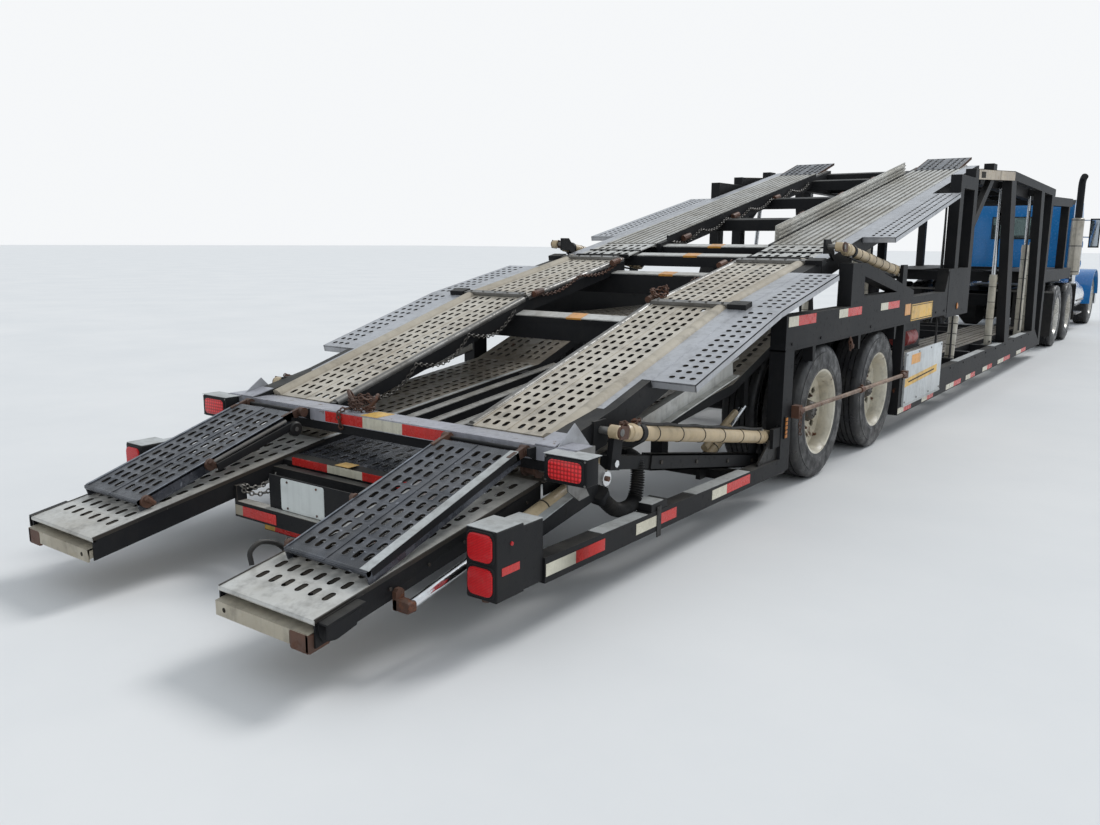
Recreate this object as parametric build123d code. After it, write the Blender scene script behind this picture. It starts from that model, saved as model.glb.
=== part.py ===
# Car transporter truck: a day cab tractor and a two axle car transport semi trailer with a sloping upper deck.
# Millimetres, +Z up. The nose points to -Y and the vehicle's left side is +X.
# The origin is on the ground, under the middle of the bounding box.
# Lengthways places are stations: distances ahead of the trailer's rear axle, positive towards the nose.
# Sideways places are distances out from the vehicle's centre plane.
from build123d import *
import math
import os

# Overall sizes
BODY_HALF = 1295.0          # half width over the trailer's side frames
REAR_END = -4225.0          # station of the loading skids' rear edge
FRONT_END = 17150.0         # station of the bumper's front face
MIDDLE = (REAR_END + FRONT_END) / 2
SEAT = 0.3                  # gap between a piece and what it seats on

# Trailer wheels
TANDEM = 1245.0
TYRE_R = 463.0
TYRE_WIDTH = 255.0
TWIN_SPACING = 290.0
TYRE_OUT = 1258.0           # outer face of the outer tyre, from the centre plane
RIM_R = 286.0
AXLE_R = 65.0

# Tractor wheels and axles
DRIVE_R = 485.0
DRIVE_AXLES = (10600.0, 11920.0)
STEER_AXLE = 16050.0
STEER_OUT = 1160.0
STEER_WIDTH = 280.0
KINGPIN_OUT = 820.0         # steering axis, from the centre plane

# Side frames of the trailer
SIDE_WALL = 100.0           # width of the side beams
BEAM_LOW, BEAM_TOP = 950.0, 1165.0
BEAM_REAR, BEAM_FRONT = -800.0, 3150.0
GUSSET_FRONT, GUSSET_LOW, GUSSET_TOP = 4030.0, 915.0, 1375.0
ROCKER_LOW, ROCKER_TOP = 180.0, 430.0
ROCKER_STEP = 260.0         # top of the rocker's low front end
ROCKER_REAR, ROCKER_FRONT = TANDEM + TYRE_R + 32, 8900.0
UPRIGHT_REAR, UPRIGHT_FRONT = -800.0, -650.0
RAIL_REAR, RAIL_LOW, RAIL_DEPTH = -3250.0, 190.0, 110.0
POST_WIDTH = 140.0
HEADER_LOW, HEADER_TOP = 2130.0, 2250.0
TOP_RAIL = ((4010.0, 2340.0), (5900.0, 2440.0), (9000.0, 2385.0))
TOP_RAIL_DEPTH = 100.0

# Decks
LANE_IN, LANE_OUT = 520.0, 1010.0     # a wheel lane's inner and outer edges
EDGE_OUT = 1120.0                     # outer face of an upper deck's side channel
EAR_OUT = 1132.0                      # outer face of the ears that take the lift cylinders' eyes
WING_OUT = 1370.0
PLATE = 8.0
CHANNEL_DEPTH = 130.0
LOW_IN, LOW_OUT = 460.0, 1030.0       # lower deck lane
TAIL_DEPTH = 100.0                    # depth of the tails' side boards
RAIL_RISE = 62.0                      # the stowed rails' top above the lower deck
LOW_LINE = ((-2900, 530), (-950, 745), (-150, 1015), (TANDEM + 155, 1015), (TANDEM + 905, 470), (8650, 430))
TAIL_LINE = ((-4200, 308), (-2900, 530))
REAR_LINE = ((-2800, 717), (-1070, 1220), (210, 1475))
MID_LINE = ((300, 1488), (4770, 2440))
MID_START = 780.0
CROSSBAR = (-2950.0, -2805.0)
FRONT_DECK = (4960.0, 8700.0)
FRONT_TOP = (2385.0, 2335.0)
SLOT_LONG, SLOT_WIDE = 44.0, 20.0     # a punched slot
SLOT_SEAM, SLOT_SPACING = 48.0, 60.0  # first column's distance from the lane's middle, and between columns
RAMP_PITCH, DECK_PITCH = 74.0, 84.0   # distance between rows of slots

# Turning points, as station and height
MID_HINGE = (4770.0, 2370.0)
REAR_HINGE = (255.0, 1415.0)
FRONT_HINGE = (8745.0, 2270.0)
RAMP_HINGE = (-2990.0, 690.0)
KINGPIN = 11260.0
HOOD_HINGE = (16950.0, 690.0)

# Lift cylinders: front pin and rod's eye, as station and height
LIFTS = {
    "rear": ((-860.0, 425.0), (-2600.0, 740.0)),
    "mid": ((1680.0, 1385.0), (290.0, 1580.0)),
}
LIFT_OUT = 1218.0           # axis of the lift cylinders, from the centre plane
POST_LIFT_OUT = 1150.0      # axis of the upright cylinders, just inside the side frames
DECK_LIFT = 5960.0          # station of the front deck's lift cylinders
TAIL_LIFT_OUT = 1072.0      # axis of the tails' cylinders
BARREL_R, ROD_R = 40.0, 24.0

# Neck, fifth wheel and tractor
NECK_FRONT, NECK_LOW, NECK_TOP = 12250.0, 1050.0, 1220.0
RAIL_IN, RAIL_OUT = 350.0, 430.0
FRAME_LOW, FRAME_TOP = 600.0, 860.0
FRAME_REAR, FRAME_FRONT = 9950.0, 16990.0
CAB_REAR, CAB_FRONT = 13350.0, 14980.0
CAB_HALF, CAB_WALL = 1020.0, 50.0
CAB_FLOOR, CAB_ROOF = 1000.0, 2420.0
DOOR_REAR, DOOR_FRONT, DOOR_LOW, DOOR_TOP = 13900.0, 14850.0, 1060.0, 2270.0
DOOR_GAP = 6.0
DOOR_HINGE = (14856.0, 1034.0)   # station and sideways place of the door's turning line
HINGE_HEIGHTS = (1250.0, 1620.0)


def spot(station, out, height):
    """A point of the vehicle's right side in model coordinates; a negative out lies on the left."""
    return (-out, MIDDLE - station, height)


def outline(points, out_a, out_b):
    """Extrudes a side view outline, given as station and height pairs, between two sideways places."""
    face = make_face(Polyline(*[(MIDDLE - s, z) for s, z in points], close=True))
    low, high = min(-out_a, -out_b), max(-out_a, -out_b)
    return extrude(Plane.YZ.offset(low) * face, amount=high - low, dir=(1, 0, 0))


def block(s_a, s_b, out_a, out_b, z_a, z_b):
    """A box between two stations, two sideways places and two heights."""
    return outline(((s_a, z_a), (s_b, z_a), (s_b, z_b), (s_a, z_b)), out_a, out_b)


def strip(line, depth, out_a, out_b, drop=0.0):
    """A band that follows a line of station and height pairs, depth deep, its top drop below the line."""
    top = [(s, z - drop) for s, z in line]
    return outline(top + [(s, z - depth) for s, z in reversed(top)], out_a, out_b)


def bar(a, b, radius):
    """A round bar between two points given as station, out and height."""
    start, end = Vector(*spot(*a)), Vector(*spot(*b))
    return Solid.make_cylinder(radius, (end - start).length, Plane(origin=start, z_dir=end - start))


def beam(a, b, depth, out_a, out_b):
    """A straight member between two side view points, depth deep across its run."""
    (s0, z0), (s1, z1) = a, b
    run = math.hypot(s1 - s0, z1 - z0)
    ds, dz = (z1 - z0) / run * depth / 2, (s1 - s0) / run * depth / 2
    return outline(((s0 - ds, z0 + dz), (s1 - ds, z1 + dz), (s1 + ds, z1 - dz), (s0 + ds, z0 - dz)), out_a, out_b)


def height_at(line, station):
    """Height of a line of station and height pairs at a station."""
    for (s0, z0), (s1, z1) in zip(line, line[1:]):
        if s0 <= station <= s1:
            return z0 + (z1 - z0) * (station - s0) / (s1 - s0)
    return line[0][1] if station < line[0][0] else line[-1][1]


def other_side(shape):
    """The same shape on the vehicle's other side."""
    return mirror(shape, about=Plane.YZ)


def both(shape):
    """A shape and its mirror image, as separate solids."""
    return solids_of([shape, other_side(shape)])


def solids_of(shapes):
    """The solids of several shapes in one list."""
    found = []
    for shape in shapes:
        found.extend(shape.solids())
    return found


def fused(shapes):
    """Shapes that are welded into one."""
    parts = solids_of(shapes)
    return parts[0].fuse(*parts[1:]) if len(parts) > 1 else parts[0]


def save(name, shapes):
    """Writes one sub part; separate shapes stay separate solids."""
    parts = solids_of(shapes if isinstance(shapes, (list, tuple)) else [shapes])
    export_step(Compound(children=parts) if len(parts) > 1 else parts[0], f"parts/{name}.step")


def turned(profile, station, out_face, height, inwards=1):
    """Turns a profile of (inwards from the outer face, radius) pairs about a wheel's axis."""
    face = make_face(Polyline(*[(inwards * a, r) for a, r in profile], close=True))
    ring = revolve(Plane.XZ * face, axis=Axis.X)
    return Pos(*spot(station, out_face, height)) * ring


def tyre(station, out_face, width, radius):
    """A tyre with sloped shoulders and a bead that sits on the rim."""
    shoulder = 22.0
    waist = RIM_R + (radius - RIM_R) * 0.35
    side = RIM_R + (radius - RIM_R) * 0.68
    profile = (
        (14, RIM_R + SEAT), (0, waist), (6, side), (shoulder, radius - 12),
        (shoulder + 22, radius), (width - shoulder - 22, radius), (width - shoulder, radius - 12),
        (width - 6, side), (width, waist), (width - 14, RIM_R + SEAT),
    )
    return turned(profile, station, out_face, radius)


def twin_wheel(station, radius):
    """Two tyres on back to back rims with one hub, for the vehicle's right side."""
    inner = TWIN_SPACING
    barrel, disc, hub_r = 16.0, 15.0, 112.0
    rim = fused([
        turned(((12, RIM_R - barrel), (12, RIM_R), (240, RIM_R), (240, RIM_R - barrel)), station, TYRE_OUT, radius),
        turned(((150, hub_r - 2), (150, RIM_R - 6), (150 + disc, RIM_R - 6), (150 + disc, hub_r - 2)),
               station, TYRE_OUT, radius),
        turned(((inner + 12, RIM_R - barrel), (inner + 12, RIM_R), (inner + 240, RIM_R), (inner + 240, RIM_R - barrel)),
               station, TYRE_OUT, radius),
        turned(((163, hub_r - 2), (163, 170), (inner + 20, RIM_R - 4), (inner + 42, RIM_R - 4), (184, 165),
                (184, hub_r - 2)), station, TYRE_OUT, radius),
        turned(((52, 0), (52, 58), (70, 70), (120, 76), (140, hub_r), (300, hub_r), (330, 90), (540, 90), (540, 0)),
               station, TYRE_OUT, radius),
    ])
    tyres = [tyre(station, TYRE_OUT - k * TWIN_SPACING, TYRE_WIDTH, radius) for k in (0, 1)]
    return [rim] + tyres


def steer_wheel(station, radius):
    """A single front wheel with its disc close to the outer face, for the vehicle's right side."""
    rim = fused([
        turned(((12, RIM_R - 16), (12, RIM_R), (262, RIM_R), (262, RIM_R - 16)), station, STEER_OUT, radius),
        turned(((95, 108), (95, RIM_R - 6), (110, RIM_R - 6), (110, 108)), station, STEER_OUT, radius),
        turned(((38, 0), (38, 60), (60, 72), (90, 110), (200, 110), (200, 0)), station, STEER_OUT, radius),
    ])
    return [rim, tyre(station, STEER_OUT, STEER_WIDTH, radius)]


def wheels():
    """Every wheel body: twins on the four driven and trailer places of each side, singles in front."""
    rows = (
        # name, station, tyre radius
        ("trailer_wheels_rear", 0.0, TYRE_R),
        ("trailer_wheels_front", TANDEM, TYRE_R),
        ("drive_wheels_rear", DRIVE_AXLES[0], DRIVE_R),
        ("drive_wheels_front", DRIVE_AXLES[1], DRIVE_R),
    )
    for name, station, radius in rows:
        right = twin_wheel(station, radius)
        save(f"{name}_right", right)
        save(f"{name}_left", [other_side(piece) for piece in right])
    right = steer_wheel(STEER_AXLE, DRIVE_R)
    save("steer_wheel_right", right)
    save("steer_wheel_left", [other_side(piece) for piece in right])


def twin_axle(station, radius, housing):
    """An axle tube that ends just inside its hubs, with a round housing in the middle of a driven one."""
    end = TYRE_OUT - 540 - SEAT
    tube = bar((station, -end, radius), (station, end, radius), AXLE_R)
    if not housing:
        return tube
    bowl = turned(((-190, 0), (-190, 90), (-90, 200), (90, 200), (190, 90), (190, 0)), station, 0, radius)
    return fused([tube, bowl])


def trailer_axles():
    """Two tube axles joined by leaf springs, with hangers that reach up to the lower deck."""
    tubes = [twin_axle(station, TYRE_R, False) for station in (0.0, TANDEM)]
    pieces = []
    for station in (-430.0, TANDEM / 2, TANDEM + 430):
        rear, front = station - 70, station + 70
        pieces.append(outline(((rear, height_at(LOW_LINE, rear) - PLATE - SEAT),
                               (front, height_at(LOW_LINE, front) - PLATE - SEAT),
                               (station + 35, TYRE_R + 150), (station - 35, TYRE_R + 150)), 480, 560))
    low = TYRE_R + AXLE_R - 5
    pieces.append(outline(((-450, TYRE_R + 150), (0, low), (TANDEM / 2, TYRE_R + 170), (TANDEM, low),
                           (TANDEM + 450, TYRE_R + 150), (TANDEM + 450, TYRE_R + 200), (TANDEM, low + 55),
                           (TANDEM / 2, TYRE_R + 225), (0, low + 55), (-450, TYRE_R + 200)), 485, 555))
    side = fused(pieces)
    save("trailer_axles", fused(tubes + [side, other_side(side)]))


def side_frames():
    """Each side's welded frame: beam over the wheels, gusset, rocker, upright, rear rail and lift pins."""
    inner = BODY_HALF - SIDE_WALL
    rail_in = inner + 20
    pieces = [
        block(BEAM_REAR, BEAM_FRONT + 50, inner, BODY_HALF, BEAM_LOW, BEAM_TOP),
        outline(((BEAM_FRONT - 120, BEAM_LOW), (BEAM_FRONT, GUSSET_LOW), (GUSSET_FRONT, GUSSET_LOW),
                 (GUSSET_FRONT, GUSSET_TOP), (BEAM_FRONT, GUSSET_TOP), (BEAM_FRONT - 120, BEAM_TOP)),
                inner, BODY_HALF),
        outline(((ROCKER_REAR, ROCKER_LOW), (ROCKER_FRONT, ROCKER_LOW), (ROCKER_FRONT, ROCKER_STEP),
                 (8740, ROCKER_STEP), (8400, ROCKER_TOP), (ROCKER_REAR, ROCKER_TOP)), rail_in, BODY_HALF),
        block(ROCKER_REAR, ROCKER_REAR + 70, rail_in, BODY_HALF, ROCKER_TOP - 20, BEAM_LOW + 20),
        block(UPRIGHT_REAR, UPRIGHT_FRONT, inner, BODY_HALF, RAIL_LOW, BEAM_TOP),
        outline(((RAIL_REAR, RAIL_LOW + 30), (UPRIGHT_REAR + 20, RAIL_LOW), (UPRIGHT_REAR + 20, RAIL_LOW + 90),
                 (RAIL_REAR, RAIL_LOW + 30 + RAIL_DEPTH)), rail_in, BODY_HALF),
    ]
    rest = outline(((360, BEAM_TOP - 20), (1960, BEAM_TOP - 20), (1960, 1220), (660, 1465), (360, 1465)),
                   inner, BODY_HALF)
    window = outline(((640, BEAM_TOP + 60), (1480, BEAM_TOP + 60), (640, 1370)), inner - 10, BODY_HALF + 10)
    pieces.append(rest - window)
    for name, (pin, _) in LIFTS.items():
        pieces.append(bar((pin[0], LIFT_OUT - 45, pin[1]), (pin[0], BODY_HALF - 4, pin[1]), 20))
    rear, mid = LIFTS["rear"][0], LIFTS["mid"][0]
    pieces.append(block(rear[0] - 50, UPRIGHT_REAR + 5, BODY_HALF - 30, BODY_HALF - 4, rear[1] - 60, rear[1] + 60))
    pieces.append(block(mid[0] - 60, mid[0] + 60, BODY_HALF - 30, BODY_HALF - 4, 1240, mid[1] + 50))
    save("side_frames", both(fused(pieces)))


def posts():
    """The upright and slanted posts, with the header, the top rails and a brace, one welded frame a side."""
    inner = BODY_HALF - SIDE_WALL
    rail = strip(TOP_RAIL, TOP_RAIL_DEPTH, inner, BODY_HALF)
    header = block(3320, GUSSET_FRONT, inner, BODY_HALF, HEADER_LOW, HEADER_TOP)
    brace = beam((3990, 1740), (4830, 2300), 90, inner + 20, BODY_HALF - 20)
    bearing = block(MID_HINGE[0] - 80, MID_HINGE[0] + 80, inner, BODY_HALF, MID_HINGE[1] - 90, MID_HINGE[1] + 75)
    rows = (
        # rear station at the foot and at the top, width, foot, top
        (3320.0, 3320.0, POST_WIDTH, GUSSET_TOP, HEADER_TOP),
        (GUSSET_FRONT - POST_WIDTH, GUSSET_FRONT - POST_WIDTH, POST_WIDTH, GUSSET_TOP, 2340.0),
        (6190.0, 5720.0, 280.0, ROCKER_TOP, 2380.0),
        (8130.0, 7830.0, 240.0, ROCKER_TOP, 2350.0),
        (8740.0, 8740.0, 160.0, ROCKER_STEP, 2330.0),
    )
    standing = [rail, header, brace, bearing]
    for foot_at, top_at, width, foot, top in rows:
        sides = ((foot_at, foot), (foot_at + width, foot), (top_at + width, top), (top_at, top))
        standing.append(outline(sides, inner, BODY_HALF))
    save("upper_frame", both(fused(standing)))


def slot(along, across):
    """The outline of one punched slot about a place on a plate, its ends cut to points."""
    long, wide = SLOT_LONG / 2, SLOT_WIDE / 2
    return Wire.make_polygon([
        (along - long, across), (along - long + wide, across - wide), (along + long - wide, across - wide),
        (along + long, across), (along + long - wide, across + wide), (along - long + wide, across + wide),
    ])


def slotted(line, out_in, out_out, pitch):
    """Lane plates that follow a line, with lengthways slots in three columns each side of the middle."""
    half = (out_out - out_in) / 2
    columns = [side * (SLOT_SEAM + k * SLOT_SPACING) for side in (-1, 1) for k in range(3)]
    plates = []
    for (s0, z0), (s1, z1) in zip(line, line[1:]):
        run = math.hypot(s1 - s0, z1 - z0)
        ahead = Vector(0, -(s1 - s0) / run, (z1 - z0) / run)
        down = ahead.cross(Vector(-1, 0, 0))
        plane = Plane(origin=spot(s0, out_in + half, z0), x_dir=ahead, z_dir=down)
        rows = int(run / pitch) - 1
        first = (run - (rows - 1) * pitch) / 2
        holes = [slot(first + row * pitch, column) for row in range(rows) for column in columns]
        rim = Wire.make_polygon([(0, -half), (run, -half), (run, half), (0, half)])
        plates.append(extrude(plane * Face(rim, holes), amount=PLATE, dir=down))
    return plates


def lane(line, out_in, out_out, depth, side=PLATE):
    """A channel shaped wheel lane: a plate that follows a line, with a flange down each edge."""
    return [
        strip(line, PLATE, out_in, out_out),
        strip(line, depth, out_in, out_in + side),
        strip(line, depth, out_out - side, out_out),
    ]


def lower_deck():
    """The lower deck's two lanes, from the tails over the axles and down into the well, on cross members."""
    rail_in = BODY_HALF - SIDE_WALL + 20
    tail_out = LOW_OUT - 20
    right = lane(LOW_LINE, LOW_IN, LOW_OUT, 60)
    right += slotted(TAIL_LINE, LOW_IN, tail_out, DECK_PITCH)
    right += [strip(TAIL_LINE, TAIL_DEPTH, side, side + PLATE) for side in (LOW_IN, tail_out - PLATE)]
    cross = []
    for station in (-3130, -2450, -1150, TANDEM + 655, 2400, 3900, 4700, 5600, 7200, 8100):
        line = ((station - 45, height_at(LOW_LINE if station > -2900 else TAIL_LINE, station - 45)),
                (station + 45, height_at(LOW_LINE if station > -2900 else TAIL_LINE, station + 45)))
        reach = rail_in if station > 2000 else LOW_OUT - 25
        cross.append(strip(line, 95, -LOW_IN - 20, LOW_IN + 20, PLATE))
        if station > 2000:
            cross.append(strip(line, 95, -reach, reach, PLATE))
    rear = block(-1195, -1105, -rail_in, rail_in, 200, 255)
    hangers = [block(-1190, -1110, s * 600, s * 680, 250, 700) for s in (-1, 1)]
    middle = slotted(((-3090, 478), (-2020, 589)), -LOW_IN, LOW_IN, DECK_PITCH)
    rail_line = [(s, height_at(LOW_LINE, s) + RAIL_RISE) for s in (-2560, -1108)]
    rails = [strip(rail_line, RAIL_RISE + PLATE + 4, out - 32, out + 32) for out in (-182, 0, 182)]
    lanes = right + [other_side(piece) for piece in right]
    save("lower_deck", fused(lanes + cross + middle + rails + [rear] + hangers))


def tail_bars():
    """The bars between the tails that carry the licence plate and the low tape."""
    low_bar = [block(-3480, -3420, -LOW_IN, LOW_IN, 240, 320)]
    low_bar += [block(-3480, -3420, side * LOW_IN, side * (LOW_IN - 20), 310, 400) for side in (-1, 1)]
    bars = [
        block(-3240, -3190, -LOW_IN, LOW_IN, 330, 450),
        block(-3235, -3200, -440, -400, 90, 340),
        block(-3235, -3200, 400, 440, 90, 340),
        block(-3240, -3190, -560, 560, 90, 150),
    ]
    save("tail_bars", [fused(low_bar), fused(bars)])


def cross_tube(line, station, depth, drop, reach):
    """A cross tube under a sloping deck, square to the deck's line."""
    part = ((station - 45, height_at(line, station - 45)), (station + 45, height_at(line, station + 45)))
    return strip(part, drop + depth, -reach, reach, drop)


def rear_deck():
    """The rear upper deck's frame: side channels, crossbar, cross tubes and the sheet lanes and wings."""
    edge = strip(REAR_LINE, CHANNEL_DEPTH, LANE_OUT + SEAT, EDGE_OUT)
    inner_edge = strip(REAR_LINE, CHANNEL_DEPTH - 30, LANE_IN - 40, LANE_IN)
    gusset = outline(((CROSSBAR[0], 600), (-2650, 640), (-2450, height_at(REAR_LINE, -2450)),
                      (CROSSBAR[0], 712)), LANE_OUT + SEAT, EDGE_OUT)
    eye = LIFTS["rear"][1]
    ear = outline(((eye[0] - 60, 640), (eye[0] + 60, 660), (eye[0] + 50, eye[1] + 45), (eye[0] - 50, eye[1] + 45)),
                  EDGE_OUT - 5, EAR_OUT)
    cross = [
        block(CROSSBAR[0], CROSSBAR[1], -1235, 1235, 600, 712),
        cross_tube(REAR_LINE, -1150, 75, 75, EDGE_OUT - 5),
        cross_tube(REAR_LINE, 60, 75, 75, EDGE_OUT - 5),
    ]
    knee = outline(((150, 1330), (REAR_HINGE[0] + 30, REAR_HINGE[1] - 40), (REAR_HINGE[0] + 30, REAR_HINGE[1] + 40),
                    (150, 1445)), LANE_OUT + SEAT, 1060)
    hinge_bore = bar((REAR_HINGE[0], LANE_OUT - 20, REAR_HINGE[1]), (REAR_HINGE[0], 1080, REAR_HINGE[1]), 18 + SEAT)
    pin = bar((RAMP_HINGE[0], LANE_IN - 10, RAMP_HINGE[1]), (RAMP_HINGE[0], LANE_OUT + 10, RAMP_HINGE[1]), 10)
    ramp_ears = [outline(((CROSSBAR[0] + 5, 640), (CROSSBAR[0] + 5, 705), (RAMP_HINGE[0] - 14, 706),
                          (RAMP_HINGE[0] - 14, 672)), out, out + 12) for out in (LANE_IN - 12, LANE_OUT)]
    side = [edge, inner_edge, gusset, ear, knee, pin] + ramp_ears
    frame = fused(side + [other_side(piece) for piece in side] + cross)
    save("rear_deck", frame - hinge_bore - other_side(hinge_bore))
    tube_in = LANE_OUT - 75
    plates = slotted(REAR_LINE, LANE_IN + SEAT, tube_in + 5, DECK_PITCH)
    tube = strip(REAR_LINE, 70, tube_in, LANE_OUT)
    save("rear_deck_lanes", both(fused(plates + [tube])))
    save("rear_deck_wings", both(wing(REAR_LINE, ((-2120, 0), (-1070, 0), (-140, 0)))))
    lamp = block(-3040, CROSSBAR[0] - SEAT, 1130, 1355, 585, 708)
    lens = block(-3055, -3040 - SEAT, 1150, 1335, 600, 695)
    save("upper_lamps", both(lamp) + both(lens))


def wing(line, places):
    """A wing plate outside a side channel, with a flange down each edge; each place is a station and a lift."""
    path = [(s, height_at(line, s) + lift) for s, lift in places]
    return fused([strip(path, PLATE, EDGE_OUT + SEAT, WING_OUT), strip(path, 40, WING_OUT - 8, WING_OUT),
                  strip(path, 40, EDGE_OUT + SEAT, EDGE_OUT + 10)])


def mid_deck():
    """The mid upper deck's frame, its lanes with a tall guard rail on the right one, joint flaps and wings."""
    side_line = ((330, height_at(MID_LINE, 330)), (4700, height_at(MID_LINE, 4700)), (4830, 2440))
    edge = strip(side_line, CHANNEL_DEPTH, LANE_OUT + SEAT, EDGE_OUT)
    lane_start = (MID_START, height_at(MID_LINE, MID_START))
    inner_edge = strip((lane_start, MID_LINE[1]), CHANNEL_DEPTH - 30, LANE_IN - 40, LANE_IN)
    tall, low = [strip([(s, height_at(MID_LINE, s) + rise) for s in (900, 4300)], rise + 5, LANE_IN - 40, LANE_IN - 30)
                 for rise in (120, 42)]
    eye = LIFTS["mid"][1]
    ear = outline(((eye[0] - 50, eye[1] - 50), (eye[0] + 60, eye[1] - 50), (eye[0] + 140, eye[1] - 100),
                   (eye[0] + 140, eye[1] - 40), (eye[0] + 50, eye[1] + 50), (eye[0] - 50, eye[1] + 50)),
                  EDGE_OUT - 5, EAR_OUT)
    pin = bar((MID_HINGE[0], EDGE_OUT - 10, MID_HINGE[1]), (MID_HINGE[0], BODY_HALF - SIDE_WALL - SEAT, MID_HINGE[1]),
              30)
    knee = outline(((REAR_HINGE[0] - 35, REAR_HINGE[1] - 45), (REAR_HINGE[0] + 150, REAR_HINGE[1] - 45),
                    (REAR_HINGE[0] + 150, 1480), (REAR_HINGE[0] - 35, REAR_HINGE[1] + 45)), 1062, EDGE_OUT)
    hinge_pin = bar((REAR_HINGE[0], LANE_OUT + 5, REAR_HINGE[1]), (REAR_HINGE[0], 1070, REAR_HINGE[1]), 18)
    side = [edge, inner_edge, ear, pin, knee, hinge_pin]
    cross = [cross_tube(MID_LINE, s, 70, 30 + SEAT, EDGE_OUT - 5) for s in (860, 2000, 3100, 4230, 4700)]
    cross.append(cross_tube(MID_LINE, 440, 70, 12 + SEAT, EDGE_OUT - 5))
    guards = [tall, other_side(low)]
    save("mid_deck", fused(side + [other_side(piece) for piece in side] + cross + guards))
    flap = ((320, height_at(MID_LINE, 320)), (MID_START - 20, height_at(MID_LINE, MID_START - 20)))
    lanes = [strip((lane_start, MID_LINE[1]), 30, LANE_IN + SEAT, LANE_OUT), strip(flap, 12, LANE_IN, LANE_OUT)]
    save("mid_deck_lanes", both(lanes[0]) + both(lanes[1]))
    save("mid_deck_wings", both(wing(MID_LINE, ((1060, 0), (3000, 0)))))
    rest_at, tip_at, rise = 4500, 5020, 152
    seat = height_at(MID_LINE, rest_at) + SEAT
    bridge = slotted(((rest_at, seat + PLATE), (tip_at, seat + PLATE + rise)), LANE_IN + 15, LANE_OUT - 15, DECK_PITCH)
    save("bridge_plates", both(bridge[0]))


def front_deck():
    """The front upper deck between the posts, hinged at its front end, with pads over its lift rods."""
    line = ((FRONT_DECK[0], FRONT_TOP[0]), (FRONT_DECK[1], FRONT_TOP[1]))
    side = lane(line, LANE_IN, LANE_OUT, 90) + [strip(line, CHANNEL_DEPTH, LANE_OUT - 4, EDGE_OUT)]
    side.append(block(8600, 8795, LANE_OUT, EDGE_OUT, 2215, 2320))
    side.append(bar((FRONT_HINGE[0], EDGE_OUT - 10, FRONT_HINGE[1]),
                    (FRONT_HINGE[0], BODY_HALF - SIDE_WALL - SEAT, FRONT_HINGE[1]), 26))
    side.append(block(DECK_LIFT - 40, DECK_LIFT + 40, EDGE_OUT - 5, POST_LIFT_OUT + 25, 2255, 2330))
    cross = [cross_tube(line, s, 70, 20, LANE_OUT) for s in (5050, 6300, 7500, 8600)]
    save("front_deck", fused(side + [other_side(piece) for piece in side] + cross))


def post_cylinders():
    """The upright lift cylinders beside the posts, on feet that are welded to the rockers."""
    rows = (
        # foot station, head station, barrel's share of the length, height of the head
        (4045.0, 4364.0, 0.28, 2200.0),
        (7900.0, 7900.0, 0.66, 2245.0),
        (8480.0, 8480.0, 0.68, 2245.0),
    )
    rail_in, inner = BODY_HALF - SIDE_WALL + 20, BODY_HALF - SIDE_WALL
    out, foot_top = POST_LIFT_OUT, 352
    pieces = []
    for foot_at, head_at, share, head_low in rows:
        foot = block(foot_at - 60, foot_at + 60, out - 40, rail_in, 300, foot_top)
        mouth = (foot_at + (head_at - foot_at) * share, out, foot_top + (head_low - foot_top) * share)
        barrel = bar((foot_at, out, foot_top - 6), mouth, 40)
        rod = bar((foot_at, out, foot_top), (head_at, out, head_low + 5), 22)
        head = block(head_at - 40, head_at + 40, out - 22, inner, head_low, head_low + 100)
        pieces += both(fused([foot, barrel, rod, head]))
    foot = block(DECK_LIFT - 60, DECK_LIFT + 60, out - 40, rail_in, 300, foot_top)
    barrel = bar((DECK_LIFT, out, foot_top - 12), (DECK_LIFT, out, 1250), 36)
    bore = bar((DECK_LIFT, out, 375), (DECK_LIFT, out, 1260), 24 + SEAT)
    pieces += both(fused([foot, barrel]) - bore)
    nose, outer = ROCKER_FRONT + 60, BODY_HALF - 50
    end = fused([block(ROCKER_FRONT, ROCKER_FRONT + 110, rail_in, BODY_HALF - 20, 195, ROCKER_STEP),
                 bar((nose, outer, ROCKER_STEP - 5), (nose, outer, 1100), 34),
                 bar((nose, outer, 1090), (nose, outer, 1700), 20),
                 block(ROCKER_FRONT, nose + 35, outer - 25, outer + 25, 1690, 1770)])
    pieces += both(end)
    save("post_cylinders", pieces)
    save("front_deck_rods", both(bar((DECK_LIFT, out, 1190), (DECK_LIFT, out, 2255 - SEAT), 24)))


def lower_deck_cylinders():
    """The cylinders below the lower deck: one along each tail, and one under each lane behind the wheels."""
    rise = 0.22
    rod_end, mouth, barrel_end = -3810, -3300, -2450

    def tail_point(station):
        return station, TAIL_LIFT_OUT, 250 + rise * (station - rod_end)

    tail = fused([bar(tail_point(rod_end), tail_point(mouth + 50), 21),
                  bar(tail_point(mouth), tail_point(barrel_end), 36),
                  block(rod_end - 22, rod_end + 22, LOW_OUT - 20, TAIL_LIFT_OUT + 24, 226, 312),
                  block(barrel_end - 30, barrel_end + 30, LOW_OUT, TAIL_LIFT_OUT + 20, 520, 562)])
    out = LOW_OUT - 45
    under = [(s, height_at(LOW_LINE, s) - PLATE - SEAT) for s in (-650, -710)]
    tilt = fused([bar((-1240, out, 300), (-900, out, 458), 36), bar((-910, out, 453), (-680, out, 560), 22),
                  block(-1290, -1195, out - 15, out + 15, 205, 330),
                  outline(((-710, 540), (-650, 540)) + tuple(under), out - 14, out + 14)])
    save("lower_deck_cylinders", both(tail) + both(tilt))


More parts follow.
